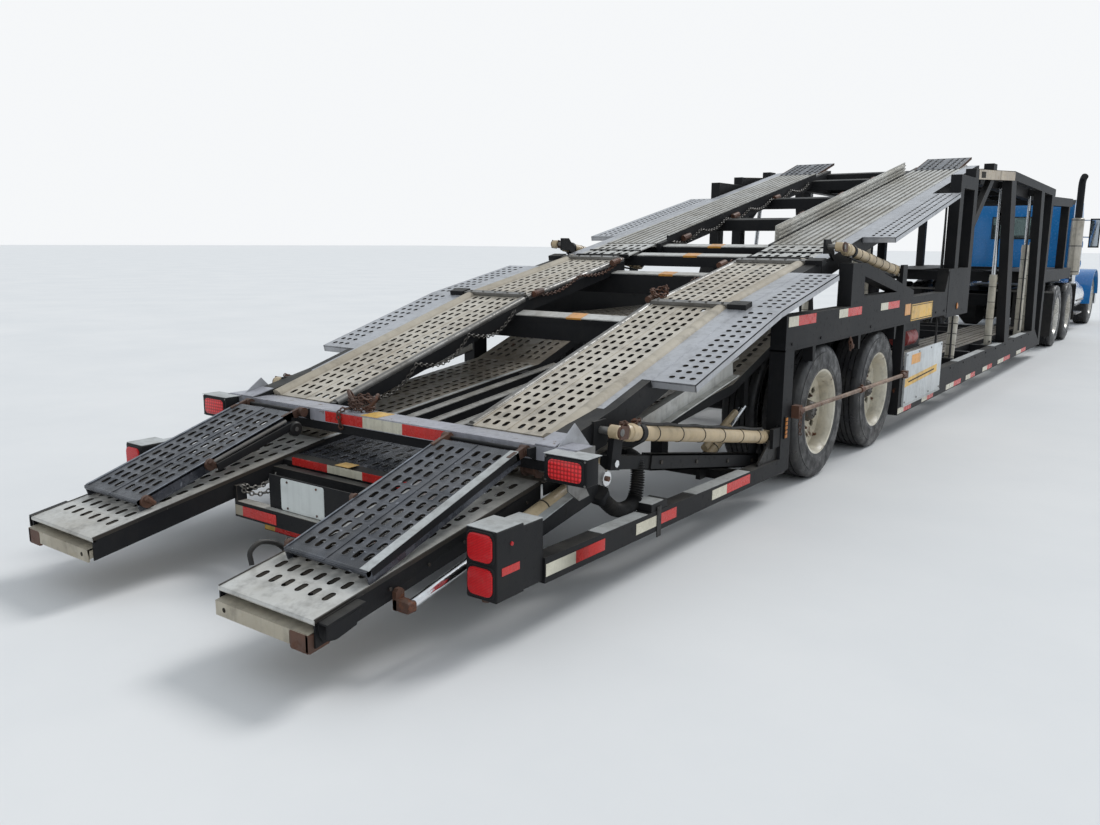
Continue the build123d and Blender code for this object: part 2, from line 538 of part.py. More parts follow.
def lift_cylinders():
    """The rear and mid lift cylinders: a barrel on its front pin and a rod that ends in an eye."""
    for name, (pin, eye) in LIFTS.items():
        run = math.hypot(eye[0] - pin[0], eye[1] - pin[1])
        step = ((eye[0] - pin[0]) / run, (eye[1] - pin[1]) / run)

        def along(distance, below=0.0):
            return (pin[0] + step[0] * distance - step[1] * below, LIFT_OUT,
                    pin[1] + step[1] * distance + step[0] * below)

        def side_point(distance, below):
            return along(distance, below)[0], along(distance, below)[2]

        mouth = run - 150
        barrel = bar(along(38), along(mouth), BARREL_R)
        bore = bar(along(80), along(mouth + 10), ROD_R + SEAT)
        lug = bar((pin[0], LIFT_OUT - 22, pin[1]), (pin[0], LIFT_OUT + 22, pin[1]), 42)
        ring = bar((pin[0], LIFT_OUT - 50, pin[1]), (pin[0], LIFT_OUT + 50, pin[1]), 20 + SEAT)
        fixed = [barrel - bore, lug]
        moving = [bar(along(100), along(run - 20), ROD_R),
                  bar((eye[0], LIFT_OUT - 30, eye[1]), (eye[0], LIFT_OUT + 24, eye[1]), 40),
                  bar((eye[0], EAR_OUT + SEAT, eye[1]), (eye[0], LIFT_OUT, eye[1]), 18)]
        if name == "rear":
            low, high = 150 + 42, 150 - 42
            arm = outline((side_point(0, low), side_point(run - 420, low), side_point(run - 420, high),
                           side_point(0, high)), 1128, 1190)
            arm_bore = outline((side_point(120, low - 8), side_point(run, low - 8), side_point(run, high + 8),
                                side_point(120, high + 8)), 1136, 1182)
            tie = outline((side_point(40, high + 20), side_point(160, high + 20), side_point(160, -20),
                           side_point(40, -20)), 1183, 1190)
            fixed += [arm - arm_bore, tie]
            moving += [outline((side_point(150, low - 9), side_point(run - 20, low - 9), side_point(run - 20, high + 9),
                                side_point(150, high + 9)), 1137, 1181),
                       outline((side_point(run - 100, low - 9), side_point(run - 20, low - 9),
                                side_point(run - 20, -8), side_point(run - 100, -8)), 1170, 1200)]
        save(f"{name}_lift_barrels", both(fused(fixed) - ring))
        save(f"{name}_lift_rods", both(fused(moving)))


def loading_ramps():
    """The two short ramps that lean from the crossbar on to the tails."""
    foot_at = -3950
    foot = (foot_at, height_at(TAIL_LINE, foot_at) + 55 + SEAT)
    top = (-3050, 694)
    inner, outer = LANE_IN + 10, LANE_OUT - 10
    pieces = slotted((foot, top), inner, outer, RAMP_PITCH)
    pieces += [strip((foot, top), 55, side, side + 10) for side in (inner, outer - 10)]
    for out in (LANE_IN + 10, LANE_OUT - 30):
        pieces.append(outline(((-3110, 640), (-3000, 668), (-2971, 680), (-2971, 700), (-3000, 712), (-3110, 680)),
                              out, out + 20))
    bore = bar((RAMP_HINGE[0], LANE_IN, RAMP_HINGE[1]), (RAMP_HINGE[0], LANE_OUT, RAMP_HINGE[1]), 10 + SEAT)
    right = fused(pieces) - bore
    save("loading_ramp_right", right)
    save("loading_ramp_left", other_side(right))


def loading_skids():
    """The loose loading skids stowed under the tail plates, with a lip and a hooked shoe each."""
    slope = (TAIL_LINE[1][1] - TAIL_LINE[0][1]) / (TAIL_LINE[1][0] - TAIL_LINE[0][0])
    top, front = 262, REAR_END + 725
    line = ((REAR_END, top), (front, top + slope * (front - REAR_END)))
    inner, outer = LOW_IN + PLATE + SEAT, LOW_OUT - 20 - PLATE - SEAT
    lip = block(REAR_END, REAR_END + 12, inner, outer, top - 57, top)
    shoe = fused([block(REAR_END, REAR_END + 14, outer - 100, outer, top - 72, top),
                  outline(((REAR_END, top), (REAR_END, top - 72), (REAR_END + 90, top - 60), (REAR_END + 160, top)),
                          outer - 14, outer)])
    plate = slotted(line, inner, outer, DECK_PITCH)
    flanges = [strip(line, 45, side, side + 10) for side in (inner, outer - 10)]
    save("loading_skids", both(fused(plate + flanges + [lip, shoe])))


def rear_lamps():
    """The lamp boxes at the tail with their lenses."""
    box = fused([block(-3560, -3390, 1140, BODY_HALF, 230, 517),
                 block(-3395, RAIL_REAR, 1160, BODY_HALF - 10, 230, 500)])
    save("lamp_boxes", both(box))
    lens = [
        block(-3575, -3560 - SEAT, 1155, 1280, 385, 500),
        block(-3575, -3560 - SEAT, 1155, 1280, 247, 365),
    ]
    save("rear_lenses", both(lens[0]) + both(lens[1]))


def guard_panels():
    """The pale panels in front of the trailer wheels."""
    save("guard_panels", both(block(ROCKER_REAR + 100, 3060, BODY_HALF + SEAT, BODY_HALF + 12, 250, 700)))


def tie_bars():
    """The long bars outside the trailer wheels, with their end brackets."""
    out, front_at = BODY_HALF + 30, ROCKER_REAR + 5
    tube = bar((-600, out, 560), (front_at + 45, out, 530), 14)
    rear = block(-650, -590, BODY_HALF + SEAT, out + 20, 520, 600)
    front = block(front_at, front_at + 60, BODY_HALF + SEAT, out + 20, 500, 560)
    save("tie_bars", both(fused([tube, rear, front])))


def neck():
    """The neck over the tractor: riser from the well, plated deck, kingpin and cross members."""
    inner = BODY_HALF - SIDE_WALL
    side = [
        outline(((8650, 190), (8750, 190), (8960, NECK_LOW), (NECK_FRONT, NECK_LOW), (NECK_FRONT, NECK_TOP),
                 (8850, NECK_TOP), (8650, 420)), 1060, inner),
        block(8860, NECK_FRONT, LOW_IN, LOW_OUT, NECK_TOP - 10, NECK_TOP),
    ]
    cross = [block(s, s + 90, -1070, 1070, NECK_LOW + 10, NECK_TOP - 9) for s in (8960, 10000, NECK_FRONT - 150)]
    plate = block(10350, NECK_FRONT - 50, -1070, 1070, NECK_LOW, NECK_LOW + 12)
    pin = bar((KINGPIN, 0, NECK_LOW - 84), (KINGPIN, 0, NECK_LOW + 6), 25.4)
    riser = block(8650 + SEAT, 8700, -1070, 1070, 190, 420)
    save("neck", fused(side + [other_side(piece) for piece in side] + cross + [plate, pin, riser]))


def head_deck():
    """The fixed head deck on four posts over the neck."""
    line = ((8960, 2300), (11750, 2365))
    side = lane(line, LANE_IN, LANE_OUT, 80) + [strip(line, CHANNEL_DEPTH, LANE_OUT - 4, 1180)]
    side += [block(s, s + 120, 1060, 1180, NECK_TOP, height_at(line, s) - 100) for s in (9060, 11380)]
    cross = [cross_tube(line, s, 60, 20, LANE_OUT) for s in (9100, 10250, 11440)]
    save("head_deck", fused(side + [other_side(piece) for piece in side] + cross))


def landing_legs():
    """The landing legs, wound up under the neck's rear end."""
    leg = fused([block(8965, 9045, 700, 820, 640, NECK_LOW + 10 - SEAT), block(8965, 9045, 715, 805, 420, 660),
                 block(8905, 9105, 660, 860, 395, 425)])
    save("landing_legs", both(leg))


def tractor_frame():
    """The tractor's ladder frame with its cross members, cab mounts and rear plate."""
    rail = block(FRAME_REAR, FRAME_FRONT, RAIL_IN, RAIL_OUT, FRAME_LOW, FRAME_TOP)
    cross = [block(s, s + 80, -RAIL_IN - 5, RAIL_IN + 5, FRAME_LOW + 40, FRAME_TOP - 40)
             for s in (FRAME_REAR + 20, 11220, 12800, 14000, 14900, 16700)]
    mounts = both(block(13420, 13520, RAIL_IN, RAIL_OUT, FRAME_TOP - 5, CAB_FLOOR))
    mounts += both(block(14780, 14880, RAIL_IN, RAIL_OUT, FRAME_TOP - 5, CAB_FLOOR))
    save("tractor_frame", fused([rail, other_side(rail)] + cross + mounts))


def fifth_wheel():
    """The fifth wheel: a slotted plate on two stands, open towards the rear for the kingpin."""
    top = NECK_LOW - SEAT
    plate = block(KINGPIN - 420, KINGPIN + 420, -430, 430, top - 40, top)
    jaw = bar((KINGPIN, 0, top - 60), (KINGPIN, 0, top + 10), 26)
    throat = outline(((KINGPIN - 430, top - 60), (KINGPIN, top - 60), (KINGPIN, top + 10), (KINGPIN - 430, top + 10)),
                     -30, 30)
    stands = [outline(((KINGPIN - 160, FRAME_TOP), (KINGPIN + 160, FRAME_TOP), (KINGPIN + 90, top - 30),
                       (KINGPIN - 90, top - 30)), s * 330, s * 425) for s in (-1, 1)]
    save("fifth_wheel", fused([plate - jaw - throat] + stands))


def tractor_axles():
    """The two driven axles on their walking beams, and the front beam axle with its springs."""
    rear, front = DRIVE_AXLES
    pieces = [twin_axle(s, DRIVE_R, True) for s in DRIVE_AXLES]
    walking = outline(((rear - 150, 430), (front + 150, 430), (front + 150, 500), (KINGPIN, 620), (rear - 150, 500)),
                      450, 540)
    hanger = outline(((KINGPIN - 200, FRAME_TOP - 30), (KINGPIN + 200, FRAME_TOP - 30), (KINGPIN + 90, 500),
                      (KINGPIN - 90, 500)), RAIL_OUT + SEAT, 540)
    side = fused([walking, hanger])
    save("drive_axles", fused(pieces + [side, other_side(side)]))
    reach = KINGPIN_OUT - 48 - SEAT
    spring = fused([block(STEER_AXLE - 60, STEER_AXLE + 60, RAIL_IN, RAIL_OUT, 420, 530),
                    outline(((STEER_AXLE - 600, FRAME_LOW - SEAT), (STEER_AXLE, 500), (STEER_AXLE + 600, FRAME_LOW - SEAT),
                             (STEER_AXLE + 600, 560), (STEER_AXLE, 450), (STEER_AXLE - 600, 560)), RAIL_IN, RAIL_OUT)])
    save("steer_axle", fused([block(STEER_AXLE - 45, STEER_AXLE + 45, -reach, reach, 345, 445), spring,
                              other_side(spring)]))


def knuckles():
    """The steering knuckles: an upright boss and the spindle that carries the wheel."""
    boss = bar((STEER_AXLE, KINGPIN_OUT, 330), (STEER_AXLE, KINGPIN_OUT, 640), 48)
    spindle = bar((STEER_AXLE, KINGPIN_OUT, DRIVE_R), (STEER_AXLE, STEER_OUT - 200 - SEAT, DRIVE_R), 36)
    right = fused([boss, spindle])
    save("knuckle_right", right)
    save("knuckle_left", other_side(right))


def cab_outline(inset):
    """The cab's side view, shrunk all round by inset."""
    return (
        (CAB_REAR + inset, CAB_FLOOR + inset), (CAB_FRONT - inset, CAB_FLOOR + inset),
        (CAB_FRONT - inset, 1730 - inset * 0.4), (14560 - inset * 0.6, CAB_ROOF - 20 - inset),
        (14400, CAB_ROOF - inset), (CAB_REAR + 90 + inset, CAB_ROOF - inset), (CAB_REAR + inset, CAB_ROOF - 90 - inset),
    )


def door_outline(inset):
    """A door's side view: square at the rear and sloped along the windscreen pillar."""
    return (
        (DOOR_REAR + inset, DOOR_LOW + inset), (DOOR_FRONT - inset, DOOR_LOW + inset),
        (DOOR_FRONT - inset, 1740 - inset * 0.4), (14500 - inset * 0.7, DOOR_TOP - inset),
        (DOOR_REAR + inset, DOOR_TOP - inset),
    )


def window_outline(inset):
    """A door window's side view."""
    return (
        (DOOR_REAR + 80 + inset, 1690 + inset), (DOOR_FRONT - 110 - inset, 1690 + inset),
        (14470 - inset, DOOR_TOP - 80 - inset), (DOOR_REAR + 80 + inset, DOOR_TOP - 80 - inset),
    )


def cab():
    """The hollow cab shell with its door, windscreen and rear window openings, the glass and the seats."""
    outer = outline(cab_outline(0), -CAB_HALF, CAB_HALF)
    hollow = outline(cab_outline(CAB_WALL), -CAB_HALF + CAB_WALL, CAB_HALF - CAB_WALL)
    doors = outline(door_outline(0), -CAB_HALF - 10, CAB_HALF + 10)
    screen = outline(((14500, 2330), (14700, 2330), (15100, 1790), (14820, 1790)), -880, 880)
    rear_window = block(CAB_REAR - 10, CAB_REAR + CAB_WALL + 10, -330, 330, 1720, 2110)
    shell = outer - hollow - doors - screen - rear_window
    hinges = []
    for height in HINGE_HEIGHTS:
        pin = bar((DOOR_HINGE[0], DOOR_HINGE[1], height - 60), (DOOR_HINGE[0], DOOR_HINGE[1], height + 60), 6)
        leaves = [block(DOOR_HINGE[0] - 6, DOOR_HINGE[0] + 40, CAB_HALF - 5, DOOR_HINGE[1] + 6, z, z + 28)
                  for z in (height - 60, height + 32)]
        hinges += [pin] + leaves
    save("cab", fused([shell] + hinges + [other_side(piece) for piece in hinges]))
    glass = [
        block(CAB_REAR + 20, CAB_REAR + 26, -330 + SEAT, 330 - SEAT, 1720 + SEAT, 2110 - SEAT),
        outline(((14597, 2330 - 1), (14603, 2330 - 1), (14947, 1790 + 1), (14941, 1790 + 1)), -880 + SEAT, 880 - SEAT),
    ]
    save("cab_glass", glass)
    seats = []
    for out in (-520, 520):
        seats.append(fused([block(13700, 14200, out - 240, out + 240, CAB_FLOOR + 300, CAB_FLOOR + 440),
                            outline(((13560, CAB_FLOOR + 400), (13720, CAB_FLOOR + 400), (13660, 1980),
                                     (13540, 1980)), out - 240, out + 240),
                            block(13800, 14100, out - 150, out + 150, CAB_FLOOR + CAB_WALL, CAB_FLOOR + 310)]))
    face = CAB_FRONT - CAB_WALL - SEAT
    dash = outline(((14700, 1300), (face, 1300), (face, 1680), (14780, 1690), (14640, 1600)), -900, 900)
    save("cab_interior", seats + [dash])


def cab_doors():
    """The two doors with their window glass and the mirrors on their arms."""
    slab = outline(door_outline(DOOR_GAP), CAB_HALF - CAB_WALL, CAB_HALF)
    window = outline(window_outline(0), CAB_HALF - CAB_WALL - 10, CAB_HALF + 10)
    arm = fused([bar((14600, CAB_HALF - 2, 1760), (14600, 1240, 1760), 12),
                 bar((14600, CAB_HALF - 2, 2080), (14600, 1240, 2080), 12)])
    mirror_head = block(14570, 14640, 1160, 1335, 1560, 2110)
    pane = outline(window_outline(SEAT), CAB_HALF - 30, CAB_HALF - 24)
    knuckles_on_door = []
    for height in HINGE_HEIGHTS:
        eye = bar((DOOR_HINGE[0], DOOR_HINGE[1], height - 30), (DOOR_HINGE[0], DOOR_HINGE[1], height + 30), 12)
        leaf = block(DOOR_HINGE[0] - 60, DOOR_HINGE[0] - 7, CAB_HALF - 5, DOOR_HINGE[1] + 4, height - 30, height + 30)
        bore = bar((DOOR_HINGE[0], DOOR_HINGE[1], height - 40), (DOOR_HINGE[0], DOOR_HINGE[1], height + 40), 6 + SEAT)
        knuckles_on_door.append(fused([eye, leaf]) - bore)
    right = [fused([slab - window, arm, mirror_head] + knuckles_on_door), pane]
    save("door_right", right)
    save("door_left", [other_side(piece) for piece in right])


def hood():
    """The tilting hood: a shell over the engine with both front fenders and its hinge lugs."""
    width, skin = 640.0, 14.0
    front = FRAME_FRONT
    shell = outline(((15000, 1010), (15000, 1700), (15100, 1715), (16800, 1560), (front, 1440), (front, 880),
                     (16700, 880), (16500, 1010)), -width, width)
    room = outline(((14990, 1000), (14990, 1700 - skin), (15100, 1715 - skin), (16790, 1560 - skin),
                    (front - skin, 1440 - skin), (front - skin, 870), (16690, 870), (16490, 1000)),
                   -width + skin, width - skin)
    centre = (STEER_AXLE, DRIVE_R)
    arch, rim = 622.0, 640.0

    def round_bar(radius, inner, outer):
        return bar((centre[0], inner, centre[1]), (centre[0], outer, centre[1]), radius)

    fender = round_bar(rim, 620, 1205) - round_bar(arch, 600, 1250)
    pod = block(16380, 16690, 660, 1170, 760, 1000) - round_bar(arch, 600, 1250)
    fender = fused([fender, pod]) - block(STEER_AXLE - 700, STEER_AXLE + 700, 600, 1250, -300, 440)
    fender -= block(STEER_AXLE + 300, STEER_AXLE + 700, 600, 1250, 400, 600)
    lug = block(HOOD_HINGE[0] - 35, front - 4, 300, 335, HOOD_HINGE[1] - 30, 1000)
    pin = bar((HOOD_HINGE[0], 320, HOOD_HINGE[1]), (HOOD_HINGE[0], RAIL_IN - SEAT, HOOD_HINGE[1]), 18)
    side = [fender, lug, pin]
    save("hood", fused([shell - room] + side + [other_side(piece) for piece in side]))
    grille = block(front + SEAT, front + 12, -560, 560, 890, 1380)
    lamps = block(16690 + SEAT, 16720, 760, 1130, 790, 970)
    save("grille_and_lamps", [grille] + both(lamps))


def tractor_fittings():
    """Bumper, engine, fuel tanks, exhaust, catwalk and quarter fenders."""
    back = FRAME_FRONT + SEAT
    save("front_bumper", outline(((back, 360), (FRONT_END, 380), (FRONT_END, 600), (back, 635)), -1150, 1150))
    save("engine", block(15150, 16350, -RAIL_IN + SEAT, RAIL_IN - SEAT, FRAME_TOP - 130, 1480))
    tank = bar((13400, 860, 640), (14880, 860, 640), 290)
    strap = [block(s, s + 60, RAIL_OUT + SEAT, 620, 600, 700) for s in (13600, 14600)]
    save("fuel_tanks", both(fused([tank] + strap)))
    muffler = fused([bar((13220, 1110, 1070), (13220, 1110, 2090), 105), bar((13220, 1110, 2080), (13220, 1110, 2700), 62),
                     bar((13220, 1110, 2690), (13120, 1150, 2850), 60), bar((13220, 1110, 980), (13220, 1110, 1080), 55),
                     block(13190, 13250, RAIL_OUT, 1110, 1000, 1050), block(13190, 13250, RAIL_OUT, RAIL_OUT + 80, 865, 1010)])
    save("exhaust", muffler)
    deck = block(12650, 13250, -RAIL_OUT, RAIL_OUT, FRAME_TOP + SEAT, FRAME_TOP + 30)
    save("catwalk", deck)


os.makedirs("parts", exist_ok=True)
wheels()
trailer_axles()
side_frames()
posts()
lower_deck()
tail_bars()
rear_deck()
mid_deck()
front_deck()
post_cylinders()
lower_deck_cylinders()
lift_cylinders()
loading_ramps()
loading_skids()
rear_lamps()
guard_panels()
tie_bars()
neck()
head_deck()
landing_legs()
tractor_frame()
fifth_wheel()
tractor_axles()
knuckles()
cab()
cab_doors()
hood()
tractor_fittings()
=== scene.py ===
"""Looks of the car transporter truck: finishes, punched decks, wheels, cylinders, tapes and trim.

Floor, light and camera are set here too."""
import math

import bmesh
import bpy
import numpy as np
from mathutils import Matrix, Vector


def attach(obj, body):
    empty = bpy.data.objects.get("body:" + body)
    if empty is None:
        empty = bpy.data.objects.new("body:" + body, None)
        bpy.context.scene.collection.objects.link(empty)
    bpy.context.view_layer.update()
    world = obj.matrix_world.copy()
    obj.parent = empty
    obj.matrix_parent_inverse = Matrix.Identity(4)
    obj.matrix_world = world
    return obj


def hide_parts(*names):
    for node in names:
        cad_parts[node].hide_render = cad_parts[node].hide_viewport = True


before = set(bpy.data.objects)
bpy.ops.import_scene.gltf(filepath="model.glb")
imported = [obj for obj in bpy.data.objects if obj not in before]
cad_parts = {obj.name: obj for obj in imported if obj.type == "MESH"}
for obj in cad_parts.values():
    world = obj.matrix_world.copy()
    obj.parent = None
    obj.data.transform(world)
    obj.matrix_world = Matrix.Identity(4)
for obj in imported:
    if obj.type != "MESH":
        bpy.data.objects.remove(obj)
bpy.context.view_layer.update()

# Places are stations ahead of the trailer's rear axle, outs from the centre plane and heights, in metres;
# lines are side view corners of station and height
MIDDLE = 6.4625
BODY_HALF = 1.295
RIGHT, LEFT, BOTH = (1,), (-1,), (1, -1)
SIDES = (("right", 1), ("left", -1))
REAR_LINE = ((-2.8, 0.717), (-1.07, 1.22), (0.21, 1.475))
MID_LINE = ((0.3, 1.488), (4.77, 2.44))
LOW_LINE = ((-2.9, 0.53), (-0.95, 0.745), (-0.15, 1.015), (1.4, 1.015), (2.15, 0.47), (8.65, 0.43))
TAIL_LINE = ((-4.2, 0.308), (-2.9, 0.53))
FRONT_LINE = ((4.96, 2.385), (8.7, 2.335))
HEAD_LINE = ((8.96, 2.3), (11.75, 2.365))
LANE_IN, LANE_OUT = 0.52, 1.01
EDGE_OUT, WING_OUT = 1.12, 1.37
LOW_IN, LOW_OUT = 0.46, 1.03
LIFTS = {"rear": ((-0.86, 0.425), (-2.6, 0.74)), "mid": ((1.68, 1.385), (0.29, 1.58))}
LIFT_OUT = 1.218
POST_OUT, SLEEVE_AT = 1.15, 5.96
TRAILER_AXLES = (("rear", 0.0), ("front", 1.245))
DRIVE_AXLES = (("rear", 10.6), ("front", 11.92))
STEER_AXLE = 16.05
# Tyre radii
TRAILER_TYRE, DRIVE_TYRE = 0.463, 0.485
# Edges bent by more than this stay sharp, and in a row of planks END is the length of the line they lie on
SHARP = math.radians(34)
END = math.inf

# Camera
CAMERA = dict(station=-6.133, out=3.414, height=1.6, heading=36.07, down=10.53, roll=-0.416, lens=30.08)


def linked(name, data):
    """A new object in the scene, made of some data."""
    holder = bpy.data.objects.new(name, data)
    bpy.context.scene.collection.objects.link(holder)
    return holder


def place_camera():
    """Sets the camera from its station, its heading off the vehicle's own and its dip."""
    turn, dip, roll = (math.radians(CAMERA[k]) for k in ("heading", "down", "roll"))
    forward = np.array([math.sin(turn), -math.cos(turn), 0.0])
    right = np.array([-math.cos(turn), -math.sin(turn), 0.0])
    up = np.array([0.0, 0.0, 1.0])
    look = math.cos(dip) * forward - math.sin(dip) * up
    below = -math.sin(dip) * forward - math.cos(dip) * up
    side = math.cos(roll) * right + math.sin(roll) * below
    below = -math.sin(roll) * right + math.cos(roll) * below
    camera = bpy.data.cameras.new("camera")
    camera.lens = CAMERA["lens"]
    camera.sensor_width = 36.0
    holder = linked("camera", camera)
    axes = Matrix((side, -below, -look)).transposed().to_4x4()
    axes.translation = Vector((-CAMERA["out"], MIDDLE - CAMERA["station"], CAMERA["height"]))
    holder.matrix_world = axes
    bpy.context.scene.camera = holder


place_camera()

# Finishes
DUST = (0.215, 0.198, 0.165)
GRIME = (0.045, 0.038, 0.03)
RUST = (0.15, 0.052, 0.022)
RUST_DARK = (0.055, 0.022, 0.013)


class Recipe:
    """A material's nodes, joined by small calls that each return the socket they make."""

    def __init__(self, name):
        self.material = bpy.data.materials.new(name)
        self.material.use_nodes = True
        self.nodes = self.material.node_tree.nodes
        self.links = self.material.node_tree.links
        self.shader = self.nodes["Principled BSDF"]
        self.place = self.nodes.new("ShaderNodeTexCoord").outputs["Object"]

    def feed(self, socket, value):
        """Joins a socket to another, or sets it to a number or a colour."""
        if isinstance(value, bpy.types.NodeSocket):
            self.links.new(value, socket)
        elif isinstance(value, tuple):
            socket.default_value = (*value, 1.0)
        else:
            socket.default_value = value

    def look(self, **values):
        """Feeds the shader's own inputs, each named with _ for a space."""
        for name, value in values.items():
            self.feed(self.shader.inputs[name.replace("_", " ")], value)

    def parts(self, vector):
        """The three numbers of a vector."""
        node = self.nodes.new("ShaderNodeSeparateXYZ")
        self.links.new(vector, node.inputs[0])
        return node.outputs

    def waves(self, length):
        """sin(2 pi x / length) and the same of z, over the piece's own places."""
        parts = self.parts(self.place)
        return [self.math("SINE", self.math("MULTIPLY", parts[k], 2 * math.pi / length)) for k in (0, 2)]

    def math(self, operation, a, b=0.0):
        """A Math node's result for two numbers or sockets."""
        node = self.nodes.new("ShaderNodeMath")
        node.operation = operation
        self.feed(node.inputs[0], a)
        self.feed(node.inputs[1], b)
        return node.outputs[0]

    def mix(self, amount, a, b):
        """a where amount is 0, b where it is 1."""
        node = self.nodes.new("ShaderNodeMix")
        node.data_type = "RGBA"
        for socket, value in ((0, amount), (6, a), (7, b)):
            self.feed(node.inputs[socket], value)
        return node.outputs[2]

    def spread(self, value, low, high, to_low=0.0, to_high=1.0):
        """A value stretched from low..high to another span, and held at its ends."""
        node = self.nodes.new("ShaderNodeMapRange")
        for socket, number in zip(node.inputs[:5], (value, low, high, to_low, to_high)):
            self.feed(socket, number)
        return node.outputs[0]

    def patches(self, scale, low, high, detail=4.0, stretch=None, top=1.0):
        """Soft edged patches of noise: 0 where the noise is below low, top where it is above high."""
        place = self.place
        if stretch:
            turn = self.nodes.new("ShaderNodeMapping")
            turn.inputs["Scale"].default_value = stretch
            self.links.new(self.place, turn.inputs["Vector"])
            place = turn.outputs[0]
        node = self.nodes.new("ShaderNodeTexNoise")
        for name, value in (("Scale", scale), ("Detail", detail), ("Roughness", 0.6), ("Vector", place)):
            self.feed(node.inputs[name], value)
        return self.spread(node.outputs[0], low, high, 0.0, top)

    def facing_up(self):
        """1 on faces that look up, 0 on upright ones."""
        normal = self.nodes.new("ShaderNodeNewGeometry").outputs["Normal"]
        return self.spread(self.parts(normal)[2], 0.25, 0.9)

    def raise_by(self, height, strength, distance=0.002):
        """Bumps up to a distance high, without moving any surface."""
        bump = self.nodes.new("ShaderNodeBump")
        for name, value in (("Strength", strength), ("Distance", distance), ("Height", height)):
            self.feed(bump.inputs[name], value)
        self.look(Normal=bump.outputs[0])


def weathered(name, colour, tone, rough=(0.4, 0.7), metal=0.0, dust=0.35, rust=0.1, runs=0.3, grain=0.3,
              coat=0.0, chips=None, smudge=0.4, patch=1.7, shine=0.5):
    """Paint or sheet that stood outdoors: two tones, smudges, runs of dirt, dust, rust spots and grain."""
    r = Recipe(name)
    body = r.mix(r.patches(patch, 0.4, 0.6, 5), colour, tone)
    body = r.mix(r.patches(11, 0.5, 0.72, 6, top=smudge), body, GRIME)
    if chips:
        body = r.mix(r.patches(26, 0.645, 0.675, 9), body, chips)
    body = r.mix(r.patches(1, 0.5, 0.78, 4, (26, 26, 1.3), top=runs), body, GRIME)
    settled = r.math("MULTIPLY", r.facing_up(), r.patches(6, 0.32, 0.66, 7, top=dust))
    body = r.mix(settled, body, DUST)
    spots = r.patches(6.5, 0.755 - 0.25 * rust, 0.8 - 0.25 * rust, 10)
    body = r.mix(spots, body, r.mix(r.patches(60, 0.4, 0.6, 3), RUST, RUST_DARK))
    dull = r.math("MAXIMUM", r.patches(24, 0.35, 0.65, 4, top=rough[1]), rough[0])
    r.look(Base_Color=body, Roughness=dull, Metallic=metal, Specular_IOR_Level=shine, Coat_Weight=coat,
           Coat_Roughness=0.12)
    r.raise_by(r.math("ADD", r.patches(150, 0.3, 0.7, 3, top=grain), r.math("MULTIPLY", spots, 0.8)), 0.35)
    return r.material


def bright(name, colour, rough, dirt=0.25):
    """Plated or polished metal with a cloudy haze and a little grime."""
    r = Recipe(name)
    body = r.mix(r.patches(9, 0.52, 0.75, 7, top=dirt), colour, (0.16, 0.13, 0.1))
    dull = r.math("ADD", r.patches(14, 0.4, 0.7, 6, top=0.25), rough)
    r.look(Base_Color=body, Roughness=dull, Metallic=1.0)
    r.raise_by(r.patches(90, 0.3, 0.7, 3), 0.06)
    return r.material


def lens(name, colour, pitch, dark=0.35):
    """Moulded lamp glass: a grid of small domes, sin(x) * sin(z), dark between them, under a clear coat."""
    r = Recipe(name)
    domes = r.spread(r.math("ABSOLUTE", r.math("MULTIPLY", *r.waves(pitch))), 0.1, 0.75)
    body = r.mix(domes, tuple(c * dark for c in colour), colour)
    r.look(Base_Color=r.mix(r.patches(30, 0.55, 0.75, 5, top=0.15), body, DUST), Roughness=0.35,
           Specular_IOR_Level=0.25, Coat_Weight=0.25)
    r.raise_by(domes, 0.5, 0.003)
    return r.material


def glazing(name):
    """Tinted window glass with a film of dust."""
    r = Recipe(name)
    film = r.patches(3, 0.35, 0.75, 6, top=0.35)
    r.look(Base_Color=r.mix(film, (0.3, 0.38, 0.38), (0.45, 0.45, 0.42)),
           Roughness=r.spread(film, 0.0, 0.35, 0.04, 0.25), Transmission_Weight=0.85, IOR=1.3)
    return r.material


def tyre_rubber():
    """Black rubber, greyed by dust in the tread and in rings on the side walls."""
    r = Recipe("tyre_rubber")
    body = r.mix(r.patches(4, 0.38, 0.62, 6), (0.017, 0.017, 0.019), (0.03, 0.029, 0.028))
    body = r.mix(r.patches(19, 0.5, 0.74, 8, top=0.4), body, (0.085, 0.079, 0.07))
    r.look(Base_Color=body, Roughness=r.patches(12, 0.2, 0.8, 4, top=0.95))
    r.raise_by(r.patches(120, 0.3, 0.7, 5), 0.3)
    return r.material


def cloth(name, colour):
    """Woven seat cloth: crossed ribs about 7 millimetres apart."""
    r = Recipe(name)
    weave = r.spread(r.math("ADD", *r.waves(2 * math.pi / 900)), -2.0, 2.0)
    r.look(Base_Color=r.mix(weave, tuple(c * 0.6 for c in colour), colour), Roughness=0.9, Sheen_Weight=0.3)
    r.raise_by(weave, 0.4, 0.001)
    return r.material


